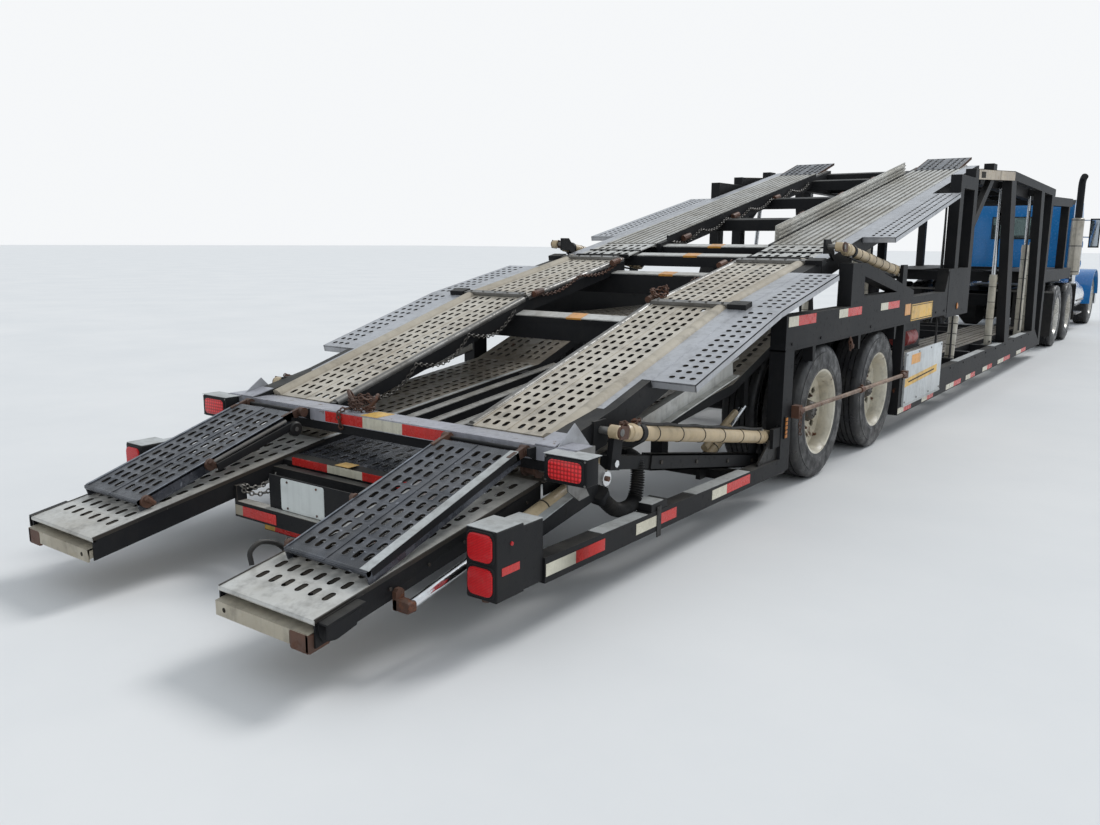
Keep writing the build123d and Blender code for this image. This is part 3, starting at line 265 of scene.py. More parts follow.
BLACK = weathered("black_frame_paint", (0.01, 0.0105, 0.012), (0.016, 0.016, 0.017), (0.52, 0.62), dust=0.2,
                  rust=0.06, runs=0.1, smudge=0.12, shine=0.16)
BLACK_EDGE = weathered("black_frame_worn_edges", (0.022, 0.021, 0.02), (0.045, 0.036, 0.029), (0.5, 0.7),
                       rust=0.3, chips=(0.1, 0.088, 0.075), shine=0.25)
LANE = weathered("lane_sheet", (0.6, 0.55, 0.465), (0.48, 0.425, 0.345), (0.38, 0.75), 0.15, dust=0.2,
                 rust=0.12, runs=0.12, smudge=0.45)
LANE_TUBE = weathered("lane_edge_tube", (0.5, 0.45, 0.365), (0.4, 0.35, 0.275), (0.62, 0.8), dust=0.2,
                      rust=0.1, runs=0.1, smudge=0.35, shine=0.25)
LOW_LANE = weathered("lower_lane_sheet", (0.3, 0.262, 0.21), (0.19, 0.158, 0.12), (0.4, 0.8), 0.1, dust=0.4,
                     rust=0.32, runs=0.2, smudge=0.7)
PLANK = weathered("plank_rib", (0.59, 0.58, 0.54), (0.46, 0.44, 0.39), (0.32, 0.62), 0.3, dust=0.15,
                  rust=0.08)
GROOVE = weathered("plank_groove", (0.15, 0.138, 0.118), (0.095, 0.085, 0.07), (0.5, 0.8), 0.1, dust=0.25,
                   rust=0.25)
RAMP = weathered("ramp_sheet", (0.036, 0.04, 0.05), (0.085, 0.09, 0.105), (0.24, 0.52), 0.4, dust=0.18,
                 rust=0.16, runs=0.08, chips=(0.22, 0.23, 0.26), smudge=0.15, patch=7)
RAMP_EDGE = weathered("ramp_worn_edge", (0.27, 0.29, 0.33), (0.12, 0.13, 0.15), (0.24, 0.5), 0.6, dust=0.1,
                      rust=0.25, patch=9)
WING = weathered("wing_sheet", (0.47, 0.478, 0.5), (0.39, 0.396, 0.415), (0.3, 0.55), 0.25, dust=0.12,
                 rust=0.05, smudge=0.25)
LILAC = weathered("crossbar_paint", (0.43, 0.43, 0.475), (0.355, 0.355, 0.39), (0.3, 0.6), 0.2, dust=0.2,
                  rust=0.16, chips=(0.16, 0.11, 0.08), smudge=0.3)
ROLLED_TUBE = weathered("rail_tube_paint", (0.12, 0.122, 0.145), (0.075, 0.075, 0.088), (0.3, 0.55), 0.3,
                        dust=0.2, rust=0.15)
STEEL = weathered("bare_steel", (0.23, 0.226, 0.218), (0.15, 0.142, 0.13), (0.35, 0.7), 0.5, rust=0.3)
SILVER = weathered("worn_silver_plate", (0.6, 0.595, 0.565), (0.48, 0.46, 0.415), (0.3, 0.65), 0.2, dust=0.15,
                   rust=0.18, smudge=0.4)
RAIL = weathered("stowed_rail_sheet", (0.42, 0.41, 0.385), (0.3, 0.285, 0.25), (0.3, 0.65), 0.3, dust=0.2,
                 rust=0.18)
SKID = weathered("skid_sheet", (0.47, 0.425, 0.335), (0.355, 0.31, 0.23), (0.4, 0.7), 0.1, rust=0.2,
                 smudge=0.4)
TIE_RUST = weathered("tie_bar_rust", (0.27, 0.18, 0.125), (0.15, 0.085, 0.052), (0.45, 0.75), 0.3, rust=0.45,
                     patch=8)
CREAM = weathered("cylinder_cream", (0.56, 0.44, 0.275), (0.47, 0.362, 0.22), (0.32, 0.6), dust=0.12,
                  rust=0.12, runs=0.2, smudge=0.3)
WHITE_BARREL = weathered("post_cylinder_white", (0.6, 0.565, 0.48), (0.48, 0.43, 0.335), (0.3, 0.6),
                         rust=0.14, runs=0.35)
BEIGE = weathered("top_cover_beige", (0.5, 0.415, 0.305), (0.41, 0.335, 0.245), rust=0.12)
PALE_TOP = weathered("pale_tread_pad", (0.5, 0.52, 0.52), (0.4, 0.41, 0.4), (0.5, 0.8), dust=0.25, rust=0.08,
                     grain=0.9)
BLUE = weathered("tractor_blue_paint", (0.008, 0.185, 0.5), (0.009, 0.168, 0.45), (0.2, 0.34), dust=0.08,
                 rust=0.0, runs=0.06, grain=0.04, coat=0.6, smudge=0.05)
RIM_CREAM = weathered("trailer_rim_paint", (0.68, 0.64, 0.53), (0.58, 0.52, 0.4), (0.35, 0.6), rust=0.5,
                      smudge=0.35, patch=4)
RIM_WHITE = weathered("drive_rim_paint", (0.64, 0.62, 0.57), (0.52, 0.49, 0.43), (0.25, 0.5), 0.3, rust=0.15)
HUB = weathered("hub_iron", (0.06, 0.053, 0.046), (0.038, 0.032, 0.027), (0.4, 0.8), 0.2, rust=0.5)
PANEL = weathered("guard_panel_paint", (0.6, 0.63, 0.64), (0.52, 0.545, 0.55), (0.3, 0.5), rust=0.04,
                  runs=0.25, smudge=0.2)
RUSTY = weathered("rusty_iron", (0.125, 0.052, 0.028), (0.07, 0.034, 0.022), (0.6, 0.9), 0.1, dust=0.15,
                  rust=0.7)
RED_TAPE = weathered("red_tape", (0.64, 0.03, 0.024), (0.54, 0.026, 0.022), (0.25, 0.5), dust=0.1, rust=0.0,
                     runs=0.2, smudge=0.15)
WHITE_TAPE = weathered("white_tape", (0.7, 0.665, 0.535), (0.61, 0.57, 0.445), (0.25, 0.5), dust=0.1,
                       rust=0.0, runs=0.25, smudge=0.2)
AMBER = weathered("amber_tape", (0.79, 0.35, 0.045), (0.68, 0.3, 0.06), (0.3, 0.5), rust=0.0, runs=0.2)
YELLOW = weathered("yellow_tag", (0.8, 0.48, 0.08), (0.68, 0.41, 0.095), (0.35, 0.6), rust=0.0, runs=0.2)
PLATE_WHITE = weathered("plate_white", (0.72, 0.75, 0.73), (0.64, 0.67, 0.65), (0.3, 0.5), rust=0.02,
                        runs=0.12, smudge=0.15)
RUBBER = weathered("black_rubber", (0.012, 0.012, 0.013), (0.022, 0.021, 0.02), (0.45, 0.8), dust=0.2,
                   rust=0.0, runs=0.1, shine=0.3)
# Painted shade: a near-black finish for hole walls, plates seen through holes, a hole in a skid, a hatch
# opening and the space behind the grille, so they read dark over the bright floor
PAINTED_SHADE = weathered("painted_shade_dark", (0.014, 0.012, 0.01), (0.028, 0.021, 0.015), (0.7, 0.95), dust=0.1,
                 rust=0.25, shine=0.15)
SHIELD = weathered("heat_shield", (0.56, 0.52, 0.45), (0.45, 0.41, 0.34), (0.3, 0.55), 0.4, rust=0.12,
                   runs=0.3)
DRUM_RED = weathered("tank_red_paint", (0.3, 0.03, 0.028), (0.22, 0.028, 0.026), rust=0.1)
ENGINE = weathered("engine_iron", (0.18, 0.185, 0.19), (0.12, 0.12, 0.12), (0.5, 0.8), 0.2, rust=0.25)
TRIM = weathered("cab_trim", (0.06, 0.06, 0.064), (0.045, 0.045, 0.048), (0.6, 0.8), rust=0.0, dust=0.2)
CHROME = bright("chrome_plate", (0.76, 0.77, 0.78), 0.07)
# The mirror's metal is darker and bluer than the chrome: a painted reflection of dark surroundings
MIRROR_PAINTED_REFLECTION = bright("mirror_glass", (0.42, 0.46, 0.5), 0.03, 0.1)
ROD = bright("bright_rod", (0.62, 0.63, 0.64), 0.14, 0.4)
RED_LENS = lens("red_lamp_lens", (0.78, 0.012, 0.018), 0.0125, 0.55)
RED_DOTS = lens("red_dotted_lens", (0.92, 0.04, 0.045), 0.036, 0.42)
CLEAR_LENS = lens("clear_lamp_lens", (0.8, 0.82, 0.84), 0.012)
AMBER_LENS = lens("amber_lamp_lens", (0.75, 0.25, 0.02), 0.008)
GLASS = glazing("window_glass")
TYRE = tyre_rubber()
SEAT = cloth("seat_cloth", (0.125, 0.125, 0.135))

# Ways to make a surface
CUBE = np.array([(0, 0, 0), (1, 0, 0), (1, 1, 0), (0, 1, 0), (0, 0, 1), (1, 0, 1), (1, 1, 1), (0, 1, 1)],
                float)
CUBE_FACES = np.array([(0, 3, 2, 1), (4, 5, 6, 7), (0, 1, 5, 4), (1, 2, 6, 5), (2, 3, 7, 6), (3, 0, 4, 7)])


def height_at(line, station):
    """Height of a side view line at a station."""
    return float(np.interp(station, [p[0] for p in line], [p[1] for p in line]))


def stretch(line, *stations):
    """The places of a side view line at two stations."""
    return tuple((s, height_at(line, s)) for s in stations)


def places(stations, outs, heights):
    """Places from three rows of numbers; a single number is shared by all."""
    return np.stack(np.broadcast_arrays(stations, outs, heights), -1).astype(float)


def stamped(points, faces):
    """A template's faces once for each set of points: face + copy * points in the template."""
    copies, size = points.shape[:2]
    shifts = np.arange(copies)[:, None, None] * size
    return points.reshape(-1, 3), (faces[None] + shifts).reshape(-1, faces.shape[1])


def boxes(*rows):
    """Boxes from rows of two stations, two outs and two heights: low + (high - low) * unit corner."""
    rows = np.array(rows, float)
    low, high = rows[:, 0::2], rows[:, 1::2]
    return stamped(low[:, None] + (high - low)[:, None] * CUBE, CUBE_FACES)


def frame_of(a, b):
    """A side view line's length, and unit vectors along and square to it, as station, out and height."""
    (s0, h0), (s1, h1) = a, b
    run = math.hypot(s1 - s0, h1 - h0)
    along, rise = (s1 - s0) / run, (h1 - h0) / run
    return run, np.array([along, 0, rise]), np.array([-rise, 0, along])


def laid(a, b, local):
    """Local points (along, out, above) on a side view line: a + along * direction + above * normal."""
    _, ahead, normal = frame_of(a, b)
    start = np.array([a[0], 0, a[1]])
    return start + local[..., :1] * ahead + local[..., 1:2] * np.array([0, 1, 0]) + local[..., 2:] * normal


def planks(a, b, *rows):
    """Boxes on a side view line, from rows of two places along it, two outs and two heights above it.

    END in a row stands for the line's own length."""
    rows = np.array(rows, float)
    rows[rows == END] = frame_of(a, b)[0]
    points, faces = boxes(*rows)
    return laid(a, b, points), faces


def swept(path, ring, up=(0, 0, 1)):
    """A closed outline carried along a path: path + a * across + b * over, with over as near up as can be."""
    path = np.array(path, float)
    ahead = np.gradient(path, axis=0)
    ahead /= np.linalg.norm(ahead, axis=1)[:, None]
    across = np.cross(np.array(up, float), ahead)
    across /= np.linalg.norm(across, axis=1)[:, None]
    over = np.cross(ahead, across)
    ring = np.broadcast_to(ring, (len(path), *np.shape(ring)[-2:]))
    points = path[:, None] + ring[..., :1] * across[:, None] + ring[..., 1:] * over[:, None]
    n, m = points.shape[:2]
    i, j = np.meshgrid(np.arange(n - 1) * m, np.arange(m), indexing="ij")
    k = (j + 1) % m
    sides = np.stack((i + j, i + k, i + m + k, i + m + j), -1).reshape(-1, 4)
    caps = np.array([np.arange(m)[::-1], (n - 1) * m + np.arange(m)])
    return points.reshape(-1, 3), sides, caps


def circle(sides):
    """A unit circle of that many points, (cos t, sin t)."""
    t = np.arange(sides) * 2 * math.pi / sides
    return np.stack((np.cos(t), np.sin(t)), -1)


def tube(path, radius, sides=14, up=(0, 0, 1)):
    """A round bar along a path; its radius is one number or one for each point."""
    radius = np.broadcast_to(np.asarray(radius, float), len(path))
    return swept(path, radius[:, None, None] * circle(sides), up)


def bent(points, steps=10):
    """A smooth path through points: the Catmull-Rom mean of each four, 0.5 * (2b + (c-a)t + ...)."""
    p = np.array(points, float)
    p = np.concatenate((2 * p[:1] - p[1:2], p, 2 * p[-1:] - p[-2:-1]))
    a, b, c, d = (p[k:len(p) - 3 + k, None] for k in range(4))
    t = np.linspace(0, 1, steps, endpoint=False)[None, :, None]
    curve = 0.5 * (2 * b + (c - a) * t + (2 * a - 5 * b + 4 * c - d) * t ** 2
                   + (3 * b - a - 3 * c + d) * t ** 3)
    return np.concatenate((curve.reshape(-1, 3), p[-2:-1]))


def turned(profile, station, out, height, steps=48):
    """A closed outline of (inwards, radius) turned about a wheel's axis.

    A point is at station + r cos t, out - inwards, height + r sin t."""
    profile = np.array(profile, float)
    t = np.arange(steps)[:, None] * 2 * math.pi / steps
    inwards, radius = profile[None, :, 0] + 0 * t, profile[None, :, 1]
    points = np.stack((station + radius * np.cos(t), out - inwards, height + radius * np.sin(t)), -1)
    n, m = points.shape[:2]
    i, j = np.meshgrid(np.arange(n), np.arange(m), indexing="ij")
    ahead, k = ((i + 1) % n) * m, (j + 1) % m
    return points.reshape(-1, 3), np.stack((i * m + j, ahead + j, ahead + k, i * m + k), -1).reshape(-1, 4)


def quarters(u, v):
    """A first quarter's points mirrored into a closed ring of four quarters."""
    u, v = np.array(u, float), np.array(v, float)
    return np.stack((np.concatenate((u, -u[::-1], -u, u[::-1])),
                     np.concatenate((v, v[::-1], -v, -v[::-1]))), -1)


def rounded(wide, high, radius, steps=4):
    """A rectangle's outline with round corners, radius * (cos t, sin t) about each corner's centre."""
    t = np.linspace(0, math.pi / 2, steps)
    return quarters(wide / 2 - radius + radius * np.cos(t), high / 2 - radius + radius * np.sin(t))


def pad(path, wide, high, radius, trims):
    """A slab with round corners along a short path, smaller at each place by that place's trim."""
    return swept(path, np.stack([rounded(wide - trim, high - trim, radius) for trim in trims]))


def side_plate(points, out_a, out_b):
    """A flat outline of side view points carried from one out to another."""
    line = np.array(points, float)
    both = np.concatenate([np.insert(line, 1, out, axis=1) for out in (out_a, out_b)])
    m = len(line)
    j = np.arange(m)
    sides = np.stack((j, (j + 1) % m, m + (j + 1) % m, m + j), -1)
    return both, sides, np.array([j[::-1], m + j])


def hole_cell(pitch, spacing, long, wide, thick, lip):
    """One cell of a punched plate: rings from its edge over a raised lip and down the wall of its hole."""
    fine = lip > 0
    turn = np.radians((17, 48, 79) if fine else (0.1, 58))
    edge = quarters((pitch / 2, pitch / 2, pitch / 6), (spacing / 6, spacing / 2, spacing / 2)) if fine else \
        quarters((pitch / 2, pitch / 2), (0.0002, spacing / 2))

    def hole(grow):
        radius = wide / 2 + grow
        return quarters(long / 2 - wide / 2 + radius * np.cos(turn), radius * np.sin(turn))

    rings = [(edge, 0.0), (hole(0.006), 0.0), (hole(0.003), lip), (hole(0.0), lip * 0.6), (hole(0.0), -thick),
             (edge, -thick)]
    if not fine:
        rings = [rings[0], (hole(0.0), 0.0), rings[4], rings[5]]
    points = np.concatenate([np.column_stack((ring, np.full(len(ring), above))) for ring, above in rings])
    n, m = len(rings), len(edge)
    i, j = np.meshgrid(np.arange(n - 1) * m, np.arange(m), indexing="ij")
    k = (j + 1) % m
    return points, np.stack((i + j, i + k, i + m + k, i + m + j), -1).reshape(-1, 4)


class Shape:
    """Gathers closed surfaces of the right side, each with its finish, and makes one piece of them."""

    def __init__(self, sides=BOTH):
        self.sides = sides
        self.finishes, self.points, self.faces, self.looks, self.count = [], [], [], [], 0

    def add(self, surface, finish, sides=None):
        """Adds a surface to each side, turned over where its signed volume, sum a . (b x c) / 6, is negative.

        finish is one for all, or one for each group of faces."""
        points, *groups = surface
        paints = finish if isinstance(finish, tuple) else (finish,) * len(groups)
        self.finishes += [paint for paint in dict.fromkeys(paints) if paint not in self.finishes]
        for side in sides or self.sides:
            placed = np.stack((-side * points[:, 1], MIDDLE - points[:, 0], points[:, 2]), -1)
            about = placed - placed.mean(axis=0)
            volume = sum(np.einsum("ij,ij->", about[g[:, 0]], np.cross(about[g[:, k]], about[g[:, k + 1]]))
                         for g in groups for k in range(1, g.shape[1] - 1))
            for group, paint in zip(groups, paints):
                order = group if volume > 0 else group[:, ::-1]
                self.faces += (order + self.count).tolist()
                self.looks += [self.finishes.index(paint)] * len(group)
            self.points.append(placed)
            self.count += len(placed)

    def punched(self, a, b, out_in, out_out, finish, columns=3, spacing=0.06, pitch=0.084, long=0.052,
                wide=0.027, thick=0.008, lip=0.0014, lift=0.0, seam=0.0, start=0.0, end=0.0, shift=0.0):
        """A plate on a side view line with rows of holes: cells in the middle and plain margins round them.

        columns is the number each side of the seam, or a single block's number where seam is 0."""
        run = frame_of(a, b)[0]
        middle = (out_in + out_out) / 2 + shift
        rows = int((run - start - end - 0.02) / pitch)
        first = start + (run - start - end - rows * pitch) / 2
        last = first + rows * pitch
        if seam:
            half = seam + (np.arange(columns) + 0.5) * spacing
            across = np.concatenate((-half[::-1], half))
        else:
            across = (np.arange(columns) - (columns - 1) / 2) * spacing
        along = first + (np.arange(rows) + 0.5) * pitch
        cell, faces = hole_cell(pitch, spacing, long, wide, thick, lip)
        grid = np.stack(np.meshgrid(along, middle + across, [lift], indexing="ij"), -1).reshape(-1, 1, 3)
        local = grid + cell
        bands = 5 if lip > 0 else 3
        wall = len(faces) // bands
        wall_at = wall * (bands - 2)
        inside = np.s_[wall_at:wall_at + wall]
        points, sheet = stamped(local, np.delete(faces, inside, 0))
        # The walls of the holes are painted shade: they take the near-black finish so the holes read dark
        self.add((laid(a, b, points), sheet, stamped(local, faces[inside])[1]), (finish, PAINTED_SHADE))
        edges = [out_in] + sorted(middle + c + k * spacing / 2 for c in across for k in (-1, 1)) + [out_out]
        strips = [(p, q) for p, q in zip(edges[::2], edges[1::2]) if q - p > 0.001]
        margins = [(first, last, p, q) for p, q in strips]
        margins += [(0, first, out_in, out_out), (last, run, out_in, out_out)]
        self.add(planks(a, b, *[(*margin, lift - thick, lift) for margin in margins]), finish)

    def make(self, name, body, *stands_for):
        """Puts the points and faces into one mesh, merges its doubles and hangs it on a body."""
        mesh = bpy.data.meshes.new(name)
        mesh.from_pydata(np.concatenate(self.points).tolist(), [], self.faces)
        for finish in self.finishes:
            mesh.materials.append(finish)
        mesh.polygons.foreach_set("material_index", self.looks)
        merged(mesh, mesh, 2e-5)
        mesh.shade_smooth()
        mesh.set_sharp_from_angle(angle=SHARP)
        piece = linked(name, mesh)
        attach(piece, body)
        if stands_for:
            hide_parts(*stands_for)


def merged(source, mesh, reach, flat=None):
    """Fills a mesh with a source's faces, its doubles merged and, up to an angle, its flat faces joined."""
    work = bmesh.new()
    work.from_mesh(source)
    bmesh.ops.remove_doubles(work, verts=work.verts, dist=reach)
    if flat:
        bmesh.ops.dissolve_limit(work, angle_limit=flat, verts=work.verts, edges=work.edges)
    work.to_mesh(mesh)
    work.free()


def softened(node, body, finish, *zones, bevel=0.003):
    """A merged copy of a CAD node with its flat faces joined, its edges rounded over and its zones painted.

    Each zone is a finish and a test of stations, outs, heights and upward slopes of the face middles.
    Black paint gets worn edges."""
    mesh = bpy.data.meshes.new(node + "_body")
    merged(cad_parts[node].data, mesh, 1e-5, math.radians(1.0))
    count = len(mesh.polygons)
    centres, normals = np.empty(count * 3), np.empty(count * 3)
    mesh.polygons.foreach_get("center", centres)
    mesh.polygons.foreach_get("normal", normals)
    centres, normals = centres.reshape(-1, 3), normals.reshape(-1, 3)
    looks = np.zeros(count, int)
    mesh.materials.append(finish)
    for k, (paint, test) in enumerate(zones, 1):
        mesh.materials.append(paint)
        looks[test(MIDDLE - centres[:, 1], -centres[:, 0], centres[:, 2], normals[:, 2])] = k
    mesh.polygons.foreach_set("material_index", looks)
    mesh.shade_smooth()
    mesh.set_sharp_from_angle(angle=SHARP)
    piece = linked(node + "_body", mesh)
    if bevel:
        soft = piece.modifiers.new("soft edges", "BEVEL")
        soft.width = bevel
        soft.segments = 2
        soft.limit_method = "ANGLE"
        soft.angle_limit = math.radians(40)
        soft.harden_normals = True
        if finish == BLACK:
            mesh.materials.append(BLACK_EDGE)
            soft.material = len(mesh.materials) - 1
    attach(piece, body)
    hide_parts(node)


def hex_heads(centres, axis, radius=0.011, length=0.01, sides=6):
    """Bolt heads at places, standing out along an axis: place + radius * (cos t, sin t) + length * axis."""
    axis = np.array(axis, float)
    first = np.cross(axis, (0.31, 0.52, 0.79))
    first /= np.linalg.norm(first)
    second = np.cross(axis, first)
    ring = circle(sides) * radius
    flat = ring[:, :1] * first + ring[:, 1:] * second
    template = np.concatenate((flat, flat + axis * length))
    j = np.arange(sides)
    points = np.array(centres, float)[:, None] + template
    walls = np.stack((j, (j + 1) % sides, sides + (j + 1) % sides, sides + j), -1)
    placed, wall_faces = stamped(points, walls)
    _, caps = stamped(points, np.array([j[::-1], sides + j]))
    return placed, wall_faces, caps


def chain(path, link=0.034, thick=0.0042):
    """Chain links along a path, each an oval ring of four sided section, every other one a quarter turned."""
    path = np.array(path, float)
    along = np.concatenate(([0], np.cumsum(np.linalg.norm(np.diff(path, axis=0), axis=1))))
    step = link * 0.72
    count = int(along[-1] / step)
    at = (np.arange(count) + 0.5) * step
    centre = np.stack([np.interp(at, along, path[:, k]) for k in range(3)], -1)
    ahead = np.gradient(centre, axis=0)
    ahead /= np.linalg.norm(ahead, axis=1)[:, None]
    flat = np.cross(ahead, (0.2, 0.1, 1.0))
    flat /= np.linalg.norm(flat, axis=1)[:, None]
    over = np.cross(ahead, flat)
    odd = (np.arange(count) % 2 == 1)[:, None]
    wide, high = np.where(odd, over, flat), np.where(odd, -flat, over)
    t = np.arange(8) * math.pi / 4 + math.pi / 8
    away = np.stack((np.cos(t), np.sin(t)), -1)
    core = away * ((link / 2 - thick) * 1.05, link * 0.3)
    section = circle(4) * thick
    local = core[:, None, :] + away[:, None, :] * section[None, :, :1]
    rise = np.broadcast_to(section[None, :, 1], local.shape[:2])
    points = (centre[:, None, None] + local[None, ..., :1] * ahead[:, None, None]
              + local[None, ..., 1:] * wide[:, None, None] + rise[None, ..., None] * high[:, None, None])
    i, j = np.meshgrid(np.arange(8), np.arange(4), indexing="ij")
    ahead_i, k = ((i + 1) % 8) * 4, (j + 1) % 4
    faces = np.stack((i * 4 + j, ahead_i + j, ahead_i + k, i * 4 + k), -1).reshape(-1, 4)
    return stamped(points.reshape(count, 32, 3), faces)


# Wheels
def tyre_outline(width, radius, bead):
    """A tyre's section: ridged side walls, round shoulders and five tread ribs parted by four grooves."""
    wall = np.array([(0.014, bead), (0.004, bead + 0.01), (0.001, bead + 0.03), (-0.001, bead + 0.034),
                     (-0.001, bead + 0.04), (0.001, bead + 0.044), (-0.001, radius - 0.085),
                     (0.001, radius - 0.07), (0.0, radius - 0.052), (0.004, radius - 0.05),
                     (0.007, radius - 0.03), (0.013, radius - 0.013), (0.024, radius - 0.004)])
    ribs, groove, deep = 5, 0.01, 0.013
    rib = (width - 0.068 - (ribs - 1) * groove) / ribs
    start = 0.034 + np.arange(ribs) * (rib + groove)
    tread = np.stack((start, start + rib, start + rib + 0.002, start + rib + groove - 0.002), -1)
    tread = tread.reshape(-1)[:-2]
    depth = np.tile((0.0, 0.0, deep, deep), ribs)[:-2]
    far = wall[::-1] * (-1, 1) + (width, 0)
    return np.concatenate((wall, np.stack((tread, radius - depth), -1), far))


def disc_with_hand_holes(shape, station, out, height, inner, outer, dish, finish):
    """A wheel disc: hole cells bent round the axis, angle = place / pitch, between two plain rings."""
    count, thick = 10, 0.01
    middle, deep = (inner + outer) / 2 + 0.012, 0.066
    cell, faces = hole_cell(0.3, deep, 0.115, 0.04, thick, 0.003)
    turn = (cell[None, :, 0] / 0.3 + np.arange(count)[:, None]) * 2 * math.pi / count
    radius = middle + cell[None, :, 1] + 0 * turn
    slope = dish * (radius - inner) / (outer - inner)
    points = np.stack((station + radius * np.cos(turn), out - slope + cell[None, :, 2],
                       height + radius * np.sin(turn)), -1)
    shape.add(stamped(points, faces), finish)
    for low, high in ((inner, middle - deep / 2), (middle + deep / 2, outer)):
        at = [dish * (r - inner) / (outer - inner) for r in (low, high)]
        ring = ((at[0], low), (at[1], high), (at[1] + thick, high), (at[0] + thick, low))
        shape.add(turned(ring, station, out, height, 40), finish)


def wheel(name, station, radius, side, finish, twin=True):
    """A whole wheel: tyres, rim barrels, a dished disc with hand holes and nuts, a hub and a brake drum."""
    shape = Shape((side,))
    rim = 0.286
    out, width, disc_at, hub_at = (1.258, 0.255, 0.152, 0.052) if twin else (1.16, 0.28, 0.09, 0.038)
    barrel = ((0.006, rim + 0.008), (0.012, rim + 0.01), (0.016, rim), (0.032, rim - 0.008),
              (0.046, rim - 0.016), (width - 0.046, rim - 0.016), (width - 0.016, rim),
              (width - 0.008, rim + 0.009), (width - 0.014, rim + 0.002), (width - 0.03, rim - 0.02),
              (width - 0.06, rim - 0.026), (0.06, rim - 0.026), (0.03, rim - 0.018), (0.01, rim - 0.006))
    for inner in ((0.0, 0.29) if twin else (0.0,)):
        shape.add(turned(tyre_outline(width, radius, rim), station, out - inner, radius, 72), TYRE)
        shape.add(turned(barrel, station, out - inner, radius, 56), finish)
    dish = -0.045 if twin else 0.03
    disc_with_hand_holes(shape, station, out - disc_at, radius, 0.108, rim - 0.02, dish, finish)
    hub = ((hub_at, 0.001), (hub_at, 0.05), (hub_at + 0.008, 0.06), (hub_at + 0.03, 0.07),
           (disc_at - 0.03, 0.078), (disc_at - 0.012, 0.106), (disc_at + 0.04, 0.112),
           (disc_at + 0.04, 0.001))
    shape.add(turned(hub, station, out, radius, 32), HUB)
    ring = circle(10) * 0.142
    nuts = places(station + ring[:, 0], out - disc_at - 0.004, radius + ring[:, 1])
    shape.add(hex_heads(nuts, (0, 1, 0), 0.019, 0.028), HUB)
    shape.add(hex_heads(nuts + (0, 0.028, 0), (0, 1, 0), 0.009, 0.016, 8), RUSTY)
    ring = circle(8) * 0.04
    cap = places(station + ring[:, 0], out - hub_at, radius + ring[:, 1])
    shape.add(hex_heads(cap, (0, 1, 0), 0.007, 0.006), HUB)
    if twin:
        drum = ((0.305, 0.06), (0.305, 0.205), (0.33, 0.212), (0.48, 0.212), (0.492, 0.196), (0.492, 0.06))
        core = ((0.29, 0.001), (0.29, 0.09), (0.538, 0.09), (0.538, 0.001))
        shape.add(turned(drum, station, out, radius, 40), RUSTY)
        shape.add(turned(core, station, out, radius, 24), HUB)
    else:
        drum = ((0.118, 0.06), (0.118, 0.19), (0.19, 0.19), (0.19, 0.06))
        shape.add(turned(drum, station, out, radius, 40), RUSTY)
    shape.make(name + "_rolling", name, name)


for end, station in TRAILER_AXLES:
    for word, side in SIDES:
        wheel(f"trailer_wheels_{end}_{word}", station, TRAILER_TYRE, side, RIM_CREAM)
for end, station in DRIVE_AXLES:
    for word, side in SIDES:
        wheel(f"drive_wheels_{end}_{word}", station, DRIVE_TYRE, side, RIM_WHITE)
for word, side in SIDES:
    wheel(f"steer_wheel_{word}", STEER_AXLE, DRIVE_TYRE, side, RIM_WHITE, twin=False)

# Rear upper deck
lanes = Shape()
for a, b in zip(REAR_LINE, REAR_LINE[1:]):
    lanes.punched(a, b, LANE_IN + 0.001, 0.94, LANE, seam=0.018)
    lanes.add(planks(a, b, (0, END, 0.7275, 0.7325, 0, 0.003)), LANE)
    lanes.add(planks(a, b, (0, END, 0.521, 0.529, 0, 0.004), (0, END, 0.521, 0.527, -0.03, 0)), LANE)
    edge = laid(a, b, places(np.linspace(0, frame_of(a, b)[0], 3), 0.988, -0.022))
    lanes.add(swept(edge, rounded(0.092, 0.092, 0.045, 8)), LANE_TUBE)
lanes.make("rear_deck_lane_sheets", "rear_deck", "rear_deck_lanes")

wings = Shape()
WING_EDGES = ((0, END, WING_OUT - 0.006, WING_OUT, -0.04, 0.001), (0, END, 1.121, 1.128, -0.04, 0.001))
WING_END = (0, 0.006, 1.121, WING_OUT, -0.04, 0)
for a, b in (stretch(REAR_LINE, -2.12, -1.07), stretch(REAR_LINE, -1.07, -0.14)):
    wings.punched(a, b, EDGE_OUT + 0.001, WING_OUT, WING, spacing=0.058, pitch=0.074, long=0.033, wide=0.033,
                  shift=0.018)
    wings.add(planks(a, b, *WING_EDGES), WING)
    wings.add(planks(a, b, (0, END, 1.012, EDGE_OUT + 0.0015, 0.0003, 0.0018)), WING)
wings.add(planks(*stretch(REAR_LINE, -2.12, -1.07), WING_END), WING)
wings.add(planks(*stretch(REAR_LINE, -2.8, -2.12), (0, END, 1.012, 1.068, 0.0003, 0.0018)), WING)
wings.make("rear_deck_wing_sheets", "rear_deck", "rear_deck_wings")

softened("rear_deck", "rear_deck", BLACK,
         (LILAC, lambda s, o, h, n: (n > 0.6) & (s < -2.79) & (h > 0.595) & (h < 0.72) & (s > -2.952)),
         (STEEL, lambda s, o, h, n: (n > 0.6) & (np.abs(o) < 0.521) & (np.abs(o) > 0.47)), bevel=0.004)

